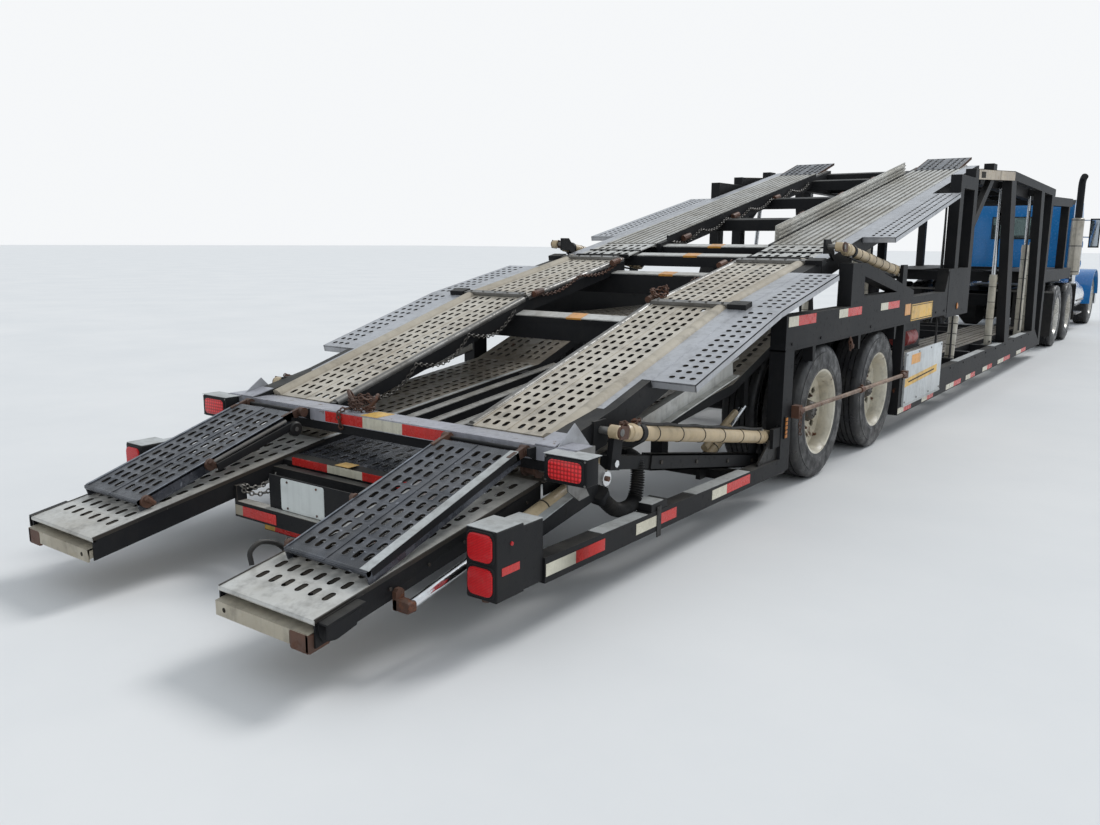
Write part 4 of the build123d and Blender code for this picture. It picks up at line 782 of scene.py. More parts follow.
deck_trim = Shape()
for a, b in zip(REAR_LINE, REAR_LINE[1:]):
    run = frame_of(a, b)[0]
    deck_trim.add(tube(laid(a, b, places((0.02, run / 2, run - 0.02), 0.499, -0.01)), 0.0225, 12), STEEL)
a, b = REAR_LINE[1:]
for at in (0.0, 1.235):
    deck_trim.add(planks(a, b, (at - 0.015, at + 0.045, 0.515, 1.135, 0.004, 0.024)), STEEL)
    deck_trim.add(planks(a, b, (at - 0.03, at + 0.06, 1.04, 1.16, -0.01, 0.03)), BLACK)
    heads = laid(a, b, places(at + 0.015, np.linspace(0.55, 1.1, 6), 0.024))
    deck_trim.add(hex_heads(heads, (0, 0, 1), 0.009, 0.006), STEEL)


def tube_strips(shape, line, station, drop):
    """A pale strip with an amber mark on the sloping top of a cross tube, which lies a drop below a line."""
    low, high = ((s, height_at(line, s) - drop) for s in (station - 0.044, station + 0.044))
    strip = planks(low, high, (0, END, -0.478, 0.478, -0.001, 0.003),
                   (-0.002, 0.001, -0.478, 0.478, -0.012, 0.003))
    shape.add(strip, SILVER, RIGHT)
    shape.add(planks(low, high, (-0.003, END, -0.06, 0.06, -0.0118, 0.0045)), AMBER, RIGHT)


for station in (-1.15, 0.06):
    tube_strips(deck_trim, REAR_LINE, station, 0.075)
a, b = REAR_LINE[:2]
deck_trim.add(tube(laid(a, b, places((0.1, 0.9, 1.74), 0.462, -0.048)), 0.02), ROLLED_TUBE, RIGHT)
for at in (0.22, 0.72, 1.22):
    tread = laid(a, b, places(np.add(at, (-0.02, -0.016, 0.016, 0.02)), 0.452, -0.082))
    deck_trim.add(tube(tread, (0.03, 0.036, 0.036, 0.03), 18), RUBBER, RIGHT)
    deck_trim.add(planks(a, b, (at - 0.03, at + 0.03, 0.47, 0.478, -0.1, -0.03)), STEEL, RIGHT)
deck_trim.make("rear_deck_fittings", "rear_deck")


def cross_tapes(shape, station, low, high, *rows):
    """Tapes on the rear face of a crossbar, from rows of two outs and a finish."""
    for out_a, out_b, tape in rows:
        shape.add(boxes((station - 0.0015, station, out_a, out_b, low, high)), tape)


bar_trim = Shape(RIGHT)
cross_tapes(bar_trim, -2.95, 0.65, 0.706, (0.188, 0.48, RED_TAPE), (-0.097, 0.188, WHITE_TAPE),
            (-0.385, -0.097, RED_TAPE))
bar_trim.add(boxes((-2.951, -2.95, -1.233, 1.233, 0.646, 0.7115)), LILAC)
bar_trim.add(boxes((-2.945, -2.815, -0.12, 0.0, 0.712, 0.7135)), YELLOW)
ledge = ((-2.946, 0.7125), (-2.8, 0.7425), (-2.8, 0.7485), (-2.946, 0.7185))
bar_trim.add(side_plate(ledge, 1.012, 1.118), LILAC, BOTH)
bar_trim.add(side_plate(((-2.93, 0.7125), (-2.64, 0.64), (-2.8, 0.8)), 1.1215, 1.1275), WING, BOTH)
bar_trim.add(boxes((-2.94, -2.82, 1.13, 1.234, 0.712, 0.716)), LILAC, BOTH)
bar_trim.add(boxes((-2.952, -2.8, 1.228, 1.236, 0.602, 0.7125)), STEEL, BOTH)
for o in (0.525, 0.985):
    bar_trim.add(tube(places(-2.99, (o - 0.018, o + 0.018), 0.69), 0.026, 12), RUSTY, BOTH)
    bar_trim.add(hex_heads([(-2.99, o + 0.018, 0.69)], (0, 1, 0), 0.015, 0.01), RUSTY, BOTH)
reel = places(-2.905, (0.93, 0.938, 0.94, 1.0, 1.002, 1.01), 0.5935)
bar_trim.add(tube(reel, (0.044, 0.044, 0.034, 0.034, 0.044, 0.044), 20), RUSTY)
bar_trim.add(tube(places(-2.905, (1.01, 1.06), 0.5935), 0.014, 12), STEEL)
for hook in (((-2.86, -0.16, 0.722), (-2.83, -0.13, 0.775), (-2.79, -0.15, 0.795), (-2.76, -0.18, 0.77),
              (-2.78, -0.2, 0.735)),
             ((-2.85, -0.24, 0.722), (-2.87, -0.27, 0.78), (-2.85, -0.31, 0.81), (-2.81, -0.33, 0.785),
              (-2.8, -0.31, 0.745))):
    path = bent(hook)
    bar_trim.add(tube(path, np.linspace(0.012, 0.007, len(path)), 8), RUSTY)
for turn, lift in ((0.0, 0.724), (1.3, 0.742), (2.4, 0.76), (3.9, 0.778)):
    t = turn + np.linspace(0, 5.4, 26)
    coil = places(-2.845 + 0.045 * np.cos(t), -0.215 + 0.075 * np.sin(t), lift + 0.009 * np.sin(2.3 * t))
    bar_trim.add(chain(coil, 0.036, 0.005), RUSTY)
fall = bent([(-2.9, -0.25, 0.73), (-2.955, -0.27, 0.715), (-2.962, -0.26, 0.66), (-2.958, -0.24, 0.61)])
bar_trim.add(chain(fall, 0.036, 0.005), RUSTY)
bar_trim.make("crossbar_trim", "rear_deck")

# Upper lamp boxes
UPPER_OUT, UPPER_HIGH = 1.2425, 0.6465
upper = Shape()
upper.add(pad(places((-2.953, -2.956, -3.034, -3.04), UPPER_OUT, UPPER_HIGH), 0.225, 0.123, 0.012,
              (0.006, 0, 0, 0.006)), BLACK)
upper.add(boxes((-3.043, -2.93, 1.128, 1.357, 0.7085, 0.711)), PALE_TOP)
for scale, s0, s1, finish in ((1.0, -3.039, -3.045, BLACK), (0.88, -3.043, -3.049, RED_DOTS)):
    steps = places((s0, s1 + 0.003, s1 + 0.001, s1), UPPER_OUT, UPPER_HIGH)
    upper.add(pad(steps, 0.195 * scale, 0.1 * scale, 0.022 * scale, (0, 0, 0.004, 0.01)), finish)
corners = [(-3.041, UPPER_OUT + o, UPPER_HIGH + h) for o in (-0.102, 0.102) for h in (-0.052, 0.052)]
upper.add(hex_heads(corners, (-1, 0, 0), 0.005, 0.003), STEEL)
for high, back in ((0.64, -2.88), (0.56, -2.76)):
    upper.add(tube(places(back, (1.262, 1.276), high), 0.034, 20), CHROME)
    upper.add(hex_heads([(back, 1.276, high)], (0, 1, 0), 0.013, 0.01), RUSTY)
bracket = ((-2.94, 0.69), (-2.86, 0.672), (-2.738, 0.586), (-2.738, 0.535), (-2.79, 0.535), (-2.94, 0.61))
upper.add(side_plate(bracket, 1.256, 1.263), STEEL)
bracket = ((-2.95, 0.595), (-2.82, 0.54), (-2.77, 0.47), (-2.85, 0.462), (-2.935, 0.52))
upper.add(side_plate(bracket, 1.18, 1.188), STEEL)
upper.make("upper_lamp_housings", "rear_deck", "upper_lamps")

# Mid upper deck
planked = Shape()
a, b = stretch(MID_LINE, 0.78, 4.77)
planked.punched(a, b, LANE_IN + 0.001, LANE_OUT, GROOVE, columns=8, spacing=0.0589, pitch=0.096, wide=0.017,
                thick=0.01, lip=0.0, start=0.02, end=0.02, lift=-0.01)
ribs = [0.521 + k * (0.489 - 0.03) / 8 for k in range(9)]
planked.add(planks(a, b, *[(0, END, o, o + 0.03, -0.012, 0.0045) for o in ribs]), PLANK)
planked.add(planks(a, b, (0, END, 0.521, 0.527, -0.03, 0.0), (0, END, 1.004, 1.01, -0.03, 0.0),
                   (0, 0.006, 0.521, 1.01, -0.03, 0)), PLANK)
a, b = stretch(MID_LINE, 0.32, 0.76)
planked.punched(a, b, LANE_IN + 0.001, LANE_OUT, SILVER, spacing=0.066, pitch=0.1, long=0.066, wide=0.036,
                seam=0.018)
planked.add(planks(a, b, (-0.014, 0.006, 0.515, 1.015, -0.02, 0.012),
                   (0.19, 0.206, 0.52, 1.012, -0.016, 0.006)), BLACK)
planked.make("mid_deck_planks", "mid_deck", "mid_deck_lanes")

wings = Shape()
a, b = stretch(MID_LINE, 1.06, 3.0)
run = frame_of(a, b)[0]
wings.punched(a, b, EDGE_OUT + 0.001, WING_OUT, WING, pitch=0.074, long=0.046, wide=0.022)
wings.add(planks(a, b, *WING_EDGES, WING_END, (run - 0.006, run, 1.121, WING_OUT, -0.04, 0)), WING)
wings.make("mid_deck_wing_sheets", "mid_deck", "mid_deck_wings")

softened("mid_deck", "mid_deck", BLACK,
         (WING, lambda s, o, h, n: (n > 0.6) & (np.abs(o) > 1.0)),
         (PLANK, lambda s, o, h, n: (o < 0.492) & (o > 0.478) & (h > np.interp(s, *zip(*MID_LINE)) + 0.015)))

deck_trim = Shape()
for station, drop in ((0.44, 0.0123), (0.86, 0.0303)):
    tube_strips(deck_trim, MID_LINE, station, drop)
a, b = stretch(MID_LINE, 0.9, 4.3)
run = frame_of(a, b)[0]
rails = [(0.02, run - 0.02, 0.4795, 0.5105, h, h + 0.012) for h in (0.02, 0.052, 0.084)]
deck_trim.add(planks(a, b, *rails), PLANK, RIGHT)
deck_trim.add(planks(a, b, (0.02, run - 0.02, 0.478, 0.494, 0.036, 0.046)), PLANK, LEFT)
for at, size in ((0.62, 1.0), (0.8, 0.8), (1.6, 1.0), (1.74, 0.7), (2.5, 1.0)):
    deck_trim.add(planks(a, b, (at, at + 0.09 * size, 0.446, 0.484, 0.02, 0.02 + 0.08 * size)), BLACK, RIGHT)
    grip = laid(a, b, places(np.add(at + 0.045, (-0.055, 0, 0.055)), 0.446, 0.085 * size))
    deck_trim.add(tube(grip, 0.024 * size, 12), RUSTY, RIGHT)
deck_trim.make("mid_deck_fittings", "mid_deck")

bridge = Shape()
seat = height_at(MID_LINE, 4.5) + 0.0003
a, b = (4.5, seat + 0.008), (5.02, seat + 0.16)
bridge.punched(a, b, LANE_IN + 0.015, LANE_OUT - 0.015, RAMP, seam=0.018)
bridge.add(planks(a, b, (0, END, 0.535, 0.541, -0.022, 0.003), (0, END, 0.989, 0.995, -0.022, 0.003)), RUSTY)
bridge.make("bridge_plate_sheets", "mid_deck", "bridge_plates")

# Loading ramps
foot, top = (-3.95, height_at(TAIL_LINE, -3.95) + 0.0553), (-3.05, 0.694)
for word, side in SIDES:
    ramp = Shape((side,))
    ramp.punched(foot, top, 0.53, 1.0, RAMP, pitch=0.072, seam=0.018, start=0.02, end=0.008)
    run = frame_of(foot, top)[0]
    ramp.add(planks(foot, top, (0, END, 0.7625, 0.7675, 0, 0.003)), RAMP)
    ramp.add(planks(foot, top, (0, END, 0.53, 0.538, -0.055, 0.003), (0, END, 0.992, 1.0, -0.055, 0.002)),
             RAMP)
    ramp.add(tube(laid(foot, top, places(0.01, (0.53, 0.765, 1.0), -0.01)), 0.0125), RAMP)
    inner_edge = (0.012, END, 0.53, 0.539, 0.002, 0.0045)
    if side == 1:
        ramp.add(planks(foot, top, (0.01, END, 0.956, 1.0008, 0.0, 0.0045)), PALE_TOP)
        ramp.add(planks(foot, top, (0.025, run - 0.02, 0.9995, 1.001, -0.03, 0.002)), BLACK)
        ramp.add(planks(foot, top, inner_edge), RAMP_EDGE)
    else:
        ramp.add(planks(foot, top, (0.01, END, 0.985, 1.0008, 0.001, 0.005), inner_edge), RAMP_EDGE)
    lug = ((-3.11, 0.64), (-3.0, 0.668), (-2.971, 0.68), (-2.971, 0.7), (-3.0, 0.712), (-3.11, 0.682))
    for o in (0.53, 0.98):
        ramp.add(side_plate(lug, o, o + 0.02), RUSTY)
    for o in (0.545, 0.975):
        ramp.add(tube(laid(foot, top, places(0.055, (o - 0.022, o + 0.022), -0.032)), 0.021, 12), RUSTY)
    for at in (0.04, 0.4):
        ramp.add(tube(laid(foot, top, places(at, (0.512, 0.529), -0.018)), 0.03), RUSTY)
        pin = places((at - 0.004, at + 0.03), (0.505, 0.52), (0.006, -0.045))
        ramp.add(tube(laid(foot, top, pin), 0.012, 10), RUSTY)
    link = laid(foot, top, places((0.42, 0.9), 0.5, (-0.04, -0.052)))
    ramp.add(swept(link, rounded(0.012, 0.04, 0.003)), BLACK)
    ramp.add(tube(laid(foot, top, places((0.4, 0.88), 0.516, (-0.012, -0.018))), 0.01, 10), STEEL)
    ramp.add(tube(places(-3.06, (0.486, 0.492, 0.516, 0.522), 0.612), (0.032, 0.04, 0.04, 0.032), 18), RUBBER)
    ramp.add(tube(places(-3.06, (0.484, 0.53), 0.612), 0.012, 10), STEEL)
    stay = ((-3.075, 0.6), (-3.045, 0.6), (-3.02, 0.66), (-3.06, 0.67))
    ramp.add(side_plate(stay, 0.5225, 0.5295), BLACK)
    ramp.make(f"loading_ramp_sheets_{word}", f"loading_ramp_{word}", f"loading_ramp_{word}")

# Tails, lower deck and skids
DECK_TOP = ((-3.09, 0.478), (-2.02, 0.589))


def on_rails(s, o, h, n):
    """Face middles of the three stowed rails between the lower lanes."""
    return (s > -2.562) & (s < -1.106) & (np.abs(o) < 0.216) & (h > np.interp(s, *zip(*LOW_LINE)) + 0.01)


# The lane tops of the CAD deck, seen through the holes of the sheets laid over them, are painted shade
softened("lower_deck", "trailer", BLACK,
         (PAINTED_SHADE, lambda s, o, h, n: (n > 0.5) & (np.abs(o) > LOW_IN - 0.002) & (np.abs(o) < LOW_OUT + 0.002)),
         (RAIL, on_rails), bevel=0)
deck = Shape()
deck.punched(*TAIL_LINE, LOW_IN, 1.01, SILVER, columns=6, spacing=0.076, pitch=0.09, long=0.06, wide=0.031,
             thick=0.0025, lift=0.003, start=0.06, end=0.02)
for a, b in zip(LOW_LINE, LOW_LINE[1:]):
    near = b[0] < 0
    deck.punched(a, b, LOW_IN, LOW_OUT, LOW_LANE, thick=0.0025, lift=0.003, seam=0.03,
                 lip=0.0014 if near else 0.0, spacing=0.072 if near else 0.075)
deck.add(planks(*LOW_LINE[:2], (0.0, 1.9, LOW_IN, LOW_IN + 0.03, 0.0032, 0.005)), PALE_TOP, LEFT)
deck.make("lower_deck_sheets", "trailer")

tail = Shape()
a, b = TAIL_LINE
slope = (b[1] - a[1]) / (b[0] - a[0])
tail.add(tube(laid(a, b, places(0.004, (LOW_IN, 0.735, 1.01), -0.008)), 0.0105, 12), SILVER)
tail.add(planks(a, b, (0, END, 0.4585, 0.466, -0.01, 0.006), (0, END, 1.006, 1.013, -0.01, 0.006)),
         BLACK_EDGE)
corner = ((-4.19, 0.306), (-4.19, 0.255), (-4.172, 0.224), (-4.12, 0.214), (-4.06, 0.228), (-4.01, 0.27),
          (-4.01, 0.338))
tail.add(side_plate(corner, 1.0105, 1.0185), BLACK)
corner = ((-4.19, 0.296), (-4.19, 0.25), (-4.15, 0.24), (-4.06, 0.262), (-4.03, 0.32))
tail.add(side_plate(corner, 1.056, 1.064), BLACK)
tail.add(planks((-4.19, 0.304), (-4.01, 0.304 + slope * 0.18), (0, 0.18, 1.0185, 1.064, -0.008, 0)), BLACK)
handle = bent([(-4.045, 0.452, 0.345), (-4.04, 0.44, 0.395), (-3.99, 0.436, 0.42), (-3.925, 0.438, 0.402),
               (-3.885, 0.444, 0.368), (-3.88, 0.456, 0.345)])
tail.add(tube(handle, 0.0105, 10), RUBBER, RIGHT)
heads = laid(a, b, places(np.linspace(0.35, 1.2, 5), 1.0145, -0.05))
tail.add(hex_heads(heads, (0, 1, 0), 0.008, 0.005), BLACK_EDGE)
tail.make("tail_trim", "trailer")

SKID_REAR = -4.225
a, b = (SKID_REAR, 0.262), (SKID_REAR + 0.725, 0.262 + slope * 0.725)
skids = Shape()
skids.punched(a, b, 0.4685, 1.0015, SKID, seam=0.03, spacing=0.07, start=0.012)
skids.add(planks(a, b, (0, END, 0.4685, 0.4765, -0.045, 0.001), (0, END, 0.9935, 1.0015, -0.045, 0.001)),
          SKID)
skids.add(boxes((SKID_REAR + 0.0006, SKID_REAR + 0.009, 0.4685, 0.899, 0.205, 0.2625)), SKID)
# A near-black disc on the end plate: painted shade standing in for a hole
skids.add(tube(places(np.add(SKID_REAR, (0.0001, 0.002)), 0.52, 0.234), 0.01), PAINTED_SHADE)
shoe = np.add((SKID_REAR, 0), ((0, 0.262), (0, 0.196), (0.006, 0.1905), (0.09, 0.202), (0.16, 0.262)))
skids.add(side_plate(shoe, 0.9875, 1.0017), RUSTY)
skids.add(pad(places(np.add(SKID_REAR, (0, 0.002, 0.012, 0.014)), 0.951, 0.2265), 0.1, 0.072, 0.008,
              (0.003, 0, 0, 0.003)), RUSTY)
skids.make("skid_sheets", "trailer", "loading_skids")

# Bars between the tails
softened("tail_bars", "trailer", BLACK,
         (SILVER, lambda s, o, h, n: (n > 0.6) & (s < -3.41) & (h > 0.3) & (h < 0.33) & (np.abs(o) < 0.445)))
between = Shape(RIGHT)
cross_tapes(between, -3.175, 0.455, 0.4955, (0.137, 0.44, RED_TAPE), (-0.117, 0.137, WHITE_TAPE),
            (-0.388, -0.117, RED_TAPE))
cross_tapes(between, -3.48, 0.252, 0.302, (-0.455, -0.396, SKID), (-0.396, -0.137, RED_TAPE),
            (0.19, 0.44, RED_TAPE))
cross_tapes(between, -3.24, 0.095, 0.146, (-0.555, -0.47, YELLOW), (-0.47, -0.2, RED_TAPE),
            (-0.2, 0.2, WHITE_TAPE), (0.2, 0.47, RED_TAPE), (0.47, 0.555, YELLOW))
between.add(boxes((-3.168, -3.095, -0.07, 0.03, 0.4985, 0.5)), YELLOW)
PLATE_OUT, PLATE_HIGH = 0.018, 0.4015
# A black plate behind the licence plate stands in for the shade under the deck there: painted shade
between.add(boxes((-3.443, -3.437, PLATE_OUT - 0.245, PLATE_OUT + 0.425, 0.32, 0.486)), BLACK)
between.add(pad(places((-3.4435, -3.445, -3.4465), PLATE_OUT, PLATE_HIGH), 0.31, 0.158, 0.012, (0, 0, 0.003)),
            PLATE_WHITE)
between.add(pad(places((-3.4463, -3.447), PLATE_OUT, PLATE_HIGH), 0.292, 0.14, 0.01, (0, 0)), PLATE_WHITE)
screws = [(-3.4468, PLATE_OUT + k, PLATE_HIGH + h) for k in (-0.105, 0.105) for h in (-0.064, 0.064)]
between.add(hex_heads(screws, (-1, 0, 0), 0.006, 0.003), RUSTY)
between.punched(*DECK_TOP, -0.4595, 0.4595, RAMP, columns=6, seam=0.02, spacing=0.068, pitch=0.082,
                thick=0.0025, lift=0.003)
low, high = ((s, height + 0.062) for s, height in stretch(LOW_LINE, -2.56, -1.108))
for o in (-0.182, 0.0, 0.182):
    edges = [(0, END, o + k, o + k + 0.006, -0.002, 0.004) for k in (-0.032, 0.026)]
    between.add(planks(low, high, *edges), RAIL)
between.make("centre_plate_and_tapes", "trailer")

# Tail lamps
lamps = Shape()
for s0, s1, o0, o1, top in ((-3.56, -3.39, 1.14, 1.295, 0.517), (-3.392, -3.25, 1.16, 1.285, 0.5)):
    path = places((s0, s0 + 0.003, s1 - 0.003, s1), (o0 + o1) / 2, (0.23 + top) / 2)
    lamps.add(pad(path, o1 - o0, top - 0.23, 0.008, (0.006, 0, 0, 0.006)), BLACK)
    lamps.add(boxes((s0 + 0.002, s1 - 0.002, o0 + 0.002, o1 - 0.002, top, top + 0.0025)), PALE_TOP)
for high in (0.445, 0.308):
    for wide, tall, s0, s1, finish in ((0.14, 0.13, -3.558, -3.566, BLACK),
                                       (0.122, 0.112, -3.564, -3.5745, RED_LENS)):
        steps = places((s0, s1 + 0.004, s1 + 0.001, s1), 1.2175, high)
        lamps.add(pad(steps, wide, tall, 0.026, (0, 0, 0.004, 0.012)), finish)
lamps.add(boxes((-3.53, -3.42, 1.295, 1.2965, 0.334, 0.366)), RED_TAPE)
lamps.add(tube(places(-3.47, (1.294, 1.3), 0.452), 0.008, 10), RED_LENS)
lamps.add(tube(places(-3.52, 1.21, (0.228, 0.212)), 0.02, 12, (0, 1, 0)), RUSTY)
lamps.add(hex_heads([(-3.54, 1.1385, 0.3), (-3.41, 1.1385, 0.3)], (0, -1, 0), 0.008, 0.006), STEEL)
lamps.make("tail_lamp_housings", "trailer", "lamp_boxes", "rear_lenses")

# Side frames and posts
for node in ("side_frames", "upper_frame"):
    softened(node, "trailer", BLACK)
covers = Shape()
for a, b in (((4.02, 2.341), (5.06, 2.3915)), ((5.085, 2.3928), (5.88, 2.4314))):
    covers.add(planks(a, b, (0, END, 1.2, 1.297, -0.001, 0.003), (0, END, 1.295, 1.297, -0.098, 0.003),
                      (-0.003, 0.001, 1.2, 1.297, -0.098, 0.003)), BEIGE)
# The hatch is two near-black patches: painted shade of its opening
hatch = ((4.12, 2.3447), (4.32, 2.3547))
covers.add(planks(*hatch, (0, 0.2, 1.297, 1.2978, -0.082, -0.02)), PAINTED_SHADE)
covers.add(planks(*hatch, (0.004, 0.196, 1.215, 1.285, 0.0029, 0.0036)), PAINTED_SHADE)
covers.make("top_rail_covers", "trailer")

marks = Shape()


def side_tapes(start, joint, end, low, high):
    """A white tape and a red one on the side frames, end to end at their joint."""
    marks.add(boxes((start, joint, BODY_HALF, BODY_HALF + 0.0015, low, high)), WHITE_TAPE)
    marks.add(boxes((joint, end, BODY_HALF, BODY_HALF + 0.0015, low, high)), RED_TAPE)


rail = ((-3.25, 0.22), (-0.78, 0.19))
for start, end, tape in ((-3.245, -3.03, WHITE_TAPE), (-3.03, -2.8, RED_TAPE), (-2.527, -2.337, WHITE_TAPE),
                         (-2.29, -2.133, RED_TAPE), (-1.73, -1.55, WHITE_TAPE), (-1.55, -1.24, RED_TAPE)):
    marks.add(planks(*rail, (start + 3.25, end + 3.25, BODY_HALF, BODY_HALF + 0.0015, 0.028, 0.082)), tape)
rail_top = ((-3.25, 0.33), (-0.78, 0.28))
for start, end in ((-2.82, -2.42), (-1.92, -1.24)):
    marks.add(planks(*rail_top, (start + 3.25, end + 3.25, 1.217, 1.293, 0.0, 0.003)), PALE_TOP)
marks.add(boxes((-2.38, -2.225, 1.19, 1.292, 0.312, 0.352)), BLACK)
marks.add(boxes((-2.378, -2.262, 1.192, 1.29, 0.352, 0.355)), PALE_TOP)
for start, joint, end, high in ((-0.77, -0.61, -0.31, 1.16), (0.13, 0.31, 0.61, 1.156),
                                (1.07, 1.255, 1.56, 1.154)):
    side_tapes(start, joint, end, 1.098, high)
marks.add(boxes((1.74, 1.9, BODY_HALF, BODY_HALF + 0.0015, 1.02, 1.112)), AMBER)
marks.add(boxes((1.93, 2.61, BODY_HALF, BODY_HALF + 0.0015, 0.962, 1.102)), YELLOW)
for start, joint, end in ((1.745, 1.92, 2.15), (2.5, 2.68, 2.9)):
    side_tapes(start, joint, end, 0.19, 0.238)
for start, joint, end in ((3.39, 3.7, 4.01), (4.24, 4.45, 4.67), (5.06, 5.3, 5.56), (5.9, 6.25, 6.66),
                          (7.1, 7.42, 7.78)):
    side_tapes(start, joint, end, 0.19, 0.24)
rim = [(1.94, 2.6, 1.088, 1.094), (1.94, 2.6, 0.97, 0.976), (1.94, 1.946, 0.97, 1.094),
       (2.594, 2.6, 0.97, 1.094)]
marks.add(boxes(*[(s0, s1, BODY_HALF + 0.0015, BODY_HALF + 0.0022, h0, h1) for s0, s1, h0, h1 in rim]), BLACK)
marks.add(tube(places(3.54, (1.293, 1.303, 1.306), 1.01), (0.03, 0.03, 0.022), 16), AMBER_LENS)
marks.add(tube(places(3.54, (1.293, 1.299), 1.01), 0.037, 16), BLACK)
for start, end in ((3.82, 5.08), (5.62, 6.06), (6.9, 7.7)):
    marks.add(boxes((start, end, 1.217, 1.293, 0.43, 0.433)), PALE_TOP)
marks.add(boxes((-0.762, -0.722, BODY_HALF, BODY_HALF + 0.008, 0.405, 0.545)), BLACK)
marks.add(boxes(*[(-0.757, -0.727, BODY_HALF + 0.008, BODY_HALF + 0.012, 0.41 + k * 0.0266, 0.43 + k * 0.0266)
                  for k in range(5)]), AMBER_LENS)
flap = ((-1.08, 0.185), (-0.655, 0.165), (-0.655, 0.52), (-0.79, 0.5), (-1.08, 0.3))
marks.add(side_plate(flap, 1.262, 1.274), RUBBER)
marks.add(boxes((-2.334, -2.294, 1.2952, 1.2992, 0.18, 0.332)), RUBBER)
marks.add(boxes((-0.8, 3.2, 1.19, 1.2975, 0.948, 0.958)), BLACK)
hook = bent([(0.4, 1.285, 0.955), (0.395, 1.3, 0.93), (0.405, 1.306, 0.895), (0.43, 1.304, 0.872),
             (0.45, 1.3, 0.89)])
marks.add(tube(hook, 0.01, 8), RUSTY)
marks.add(chain([(0.385, 1.3, 0.95), (0.375, 1.304, 0.9), (0.39, 1.306, 0.85)], 0.034, 0.0045), RUSTY)
for station in (-0.3, 0.62, 1.52):
    gusset = np.add((station, 0), ((0, 0.95), (0.06, 0.95), (0.045, 0.84), (0.015, 0.84)))
    marks.add(side_plate(gusset, 1.21, 1.28), BLACK)
bolts = [(s, BODY_HALF, 0.99) for s in (-0.7, -0.2, 0.85, 2.75, 3.05)]
bolts += [(s, BODY_HALF, 0.4) for s in np.arange(3.5, 8.6, 0.55)]
marks.add(hex_heads(bolts, (0, 1, 0), 0.01, 0.006), BLACK)
marks.add(boxes((3.148, 3.156, BODY_HALF, BODY_HALF + 0.003, 0.92, 1.37),
                (3.1, 4.02, BODY_HALF, BODY_HALF + 0.003, 1.352, 1.372)), BLACK)
marks.make("side_tapes_and_markers", "trailer")

# Channels beside the rear lift
channel = Shape()
channel.add(planks((-2.13, 0.66), (-1.0, 0.865), (0, 1.145, 1.04, 1.048, -0.06, 0.06),
                   (0, 1.145, 1.04, 1.09, 0.052, 0.06), (0, 1.145, 1.04, 1.09, -0.06, -0.052)), SILVER)
channel.make("diagonal_channels", "trailer")

# Guard panels
guard = Shape()
guard.add(pad(places(2.45, (1.2952, 1.2958, 1.3055, 1.307), 0.475), 1.22, 0.45, 0.01, (0, 0, 0, 0.006)),
          PANEL)
guard.add(boxes((2.02, 2.3, 1.307, 1.308, 0.585, 0.668)), AMBER)
label = ((1.86, 0.44), (2.9, 0.47))
guard.add(planks(*label, (0, 1.04, 1.307, 1.3085, -0.035, 0.035)), YELLOW)
guard.add(planks(*label, (0.1, 0.94, 1.3085, 1.3092, -0.006, 0.006)), BLACK)
bolts = [(s, 1.307, h) for s in (1.88, 2.25, 2.65, 3.02) for h in (0.275, 0.68)]
guard.add(hex_heads(bolts, (0, 1, 0), 0.009, 0.005), STEEL)
guard.add(boxes((1.838, 3.062, 1.2952, 1.312, 0.238, 0.252), (1.836, 1.846, 1.2952, 1.311, 0.25, 0.702)),
          PALE_TOP)
guard.make("guard_panel_sheets", "trailer", "guard_panels")
tanks = Shape()
drum = places(np.add(2.3, (-0.16, -0.15, 0.15, 0.16)), 1.15, 0.79)
tanks.add(tube(drum, (0.06, 0.085, 0.085, 0.06), 20), DRUM_RED)
tanks.add(boxes((2.22, 2.236, 1.062, 1.2, 0.7, 0.882), (2.364, 2.38, 1.062, 1.2, 0.7, 0.882),
                (2.06, 2.6, 1.06, 1.215, 0.69, 0.702), (2.06, 2.6, 1.195, 1.205, 0.69, 0.952)), BLACK)
tanks.make("air_drums", "trailer")

# Tie bars
TIE_OUT = 1.325
ties = Shape()
ties.add(tube(places((-0.6, 0.6, 1.79), TIE_OUT, (0.56, 0.545, 0.53)), 0.0155), TIE_RUST)
ties.add(boxes((-0.65, -0.59, 1.2953, 1.345, 0.52, 0.6), (1.745, 1.805, 1.2953, 1.345, 0.5, 0.56)), RUSTY)
for station in (-0.585, 0.64, 1.71):
    high = 0.56 - 0.0126 * (station + 0.6)
    ties.add(tube(places((station - 0.035, station + 0.035), TIE_OUT, high), 0.024, 12), RUSTY)
    ties.add(hex_heads([(station, TIE_OUT, high + 0.022)], (0, 0, 1), 0.01, 0.014), RUSTY)
ties.add(chain([(-0.62, 1.35, 0.56), (-0.64, 1.352, 0.48), (-0.62, 1.35, 0.4)], 0.03, 0.0036), RUSTY)
ties.make("tie_bar_rods", "trailer", "tie_bars")


# Lift cylinders
def along_lift(name):
    """A lift's side view places: distance from its pin along the cylinder, and distance below it."""
    pin, eye = (np.array(p) for p in LIFTS[name])
    run = float(np.linalg.norm(eye - pin))
    step = (eye - pin) / run

    def at(distance, below=0.0, out=LIFT_OUT):
        return (pin[0] + step[0] * distance - step[1] * below, out,
                pin[1] + step[1] * distance + step[0] * below)

    return at, run


def collar(at, start, end, chamfer, radius, chamfer_radius, sides=24):
    """A thick ring on a cylinder, from start to end along it, with chamfered ends."""
    path = [at(k) for k in (start, start + chamfer, end - chamfer, end)]
    return tube(path, (chamfer_radius, radius, radius, chamfer_radius), sides)


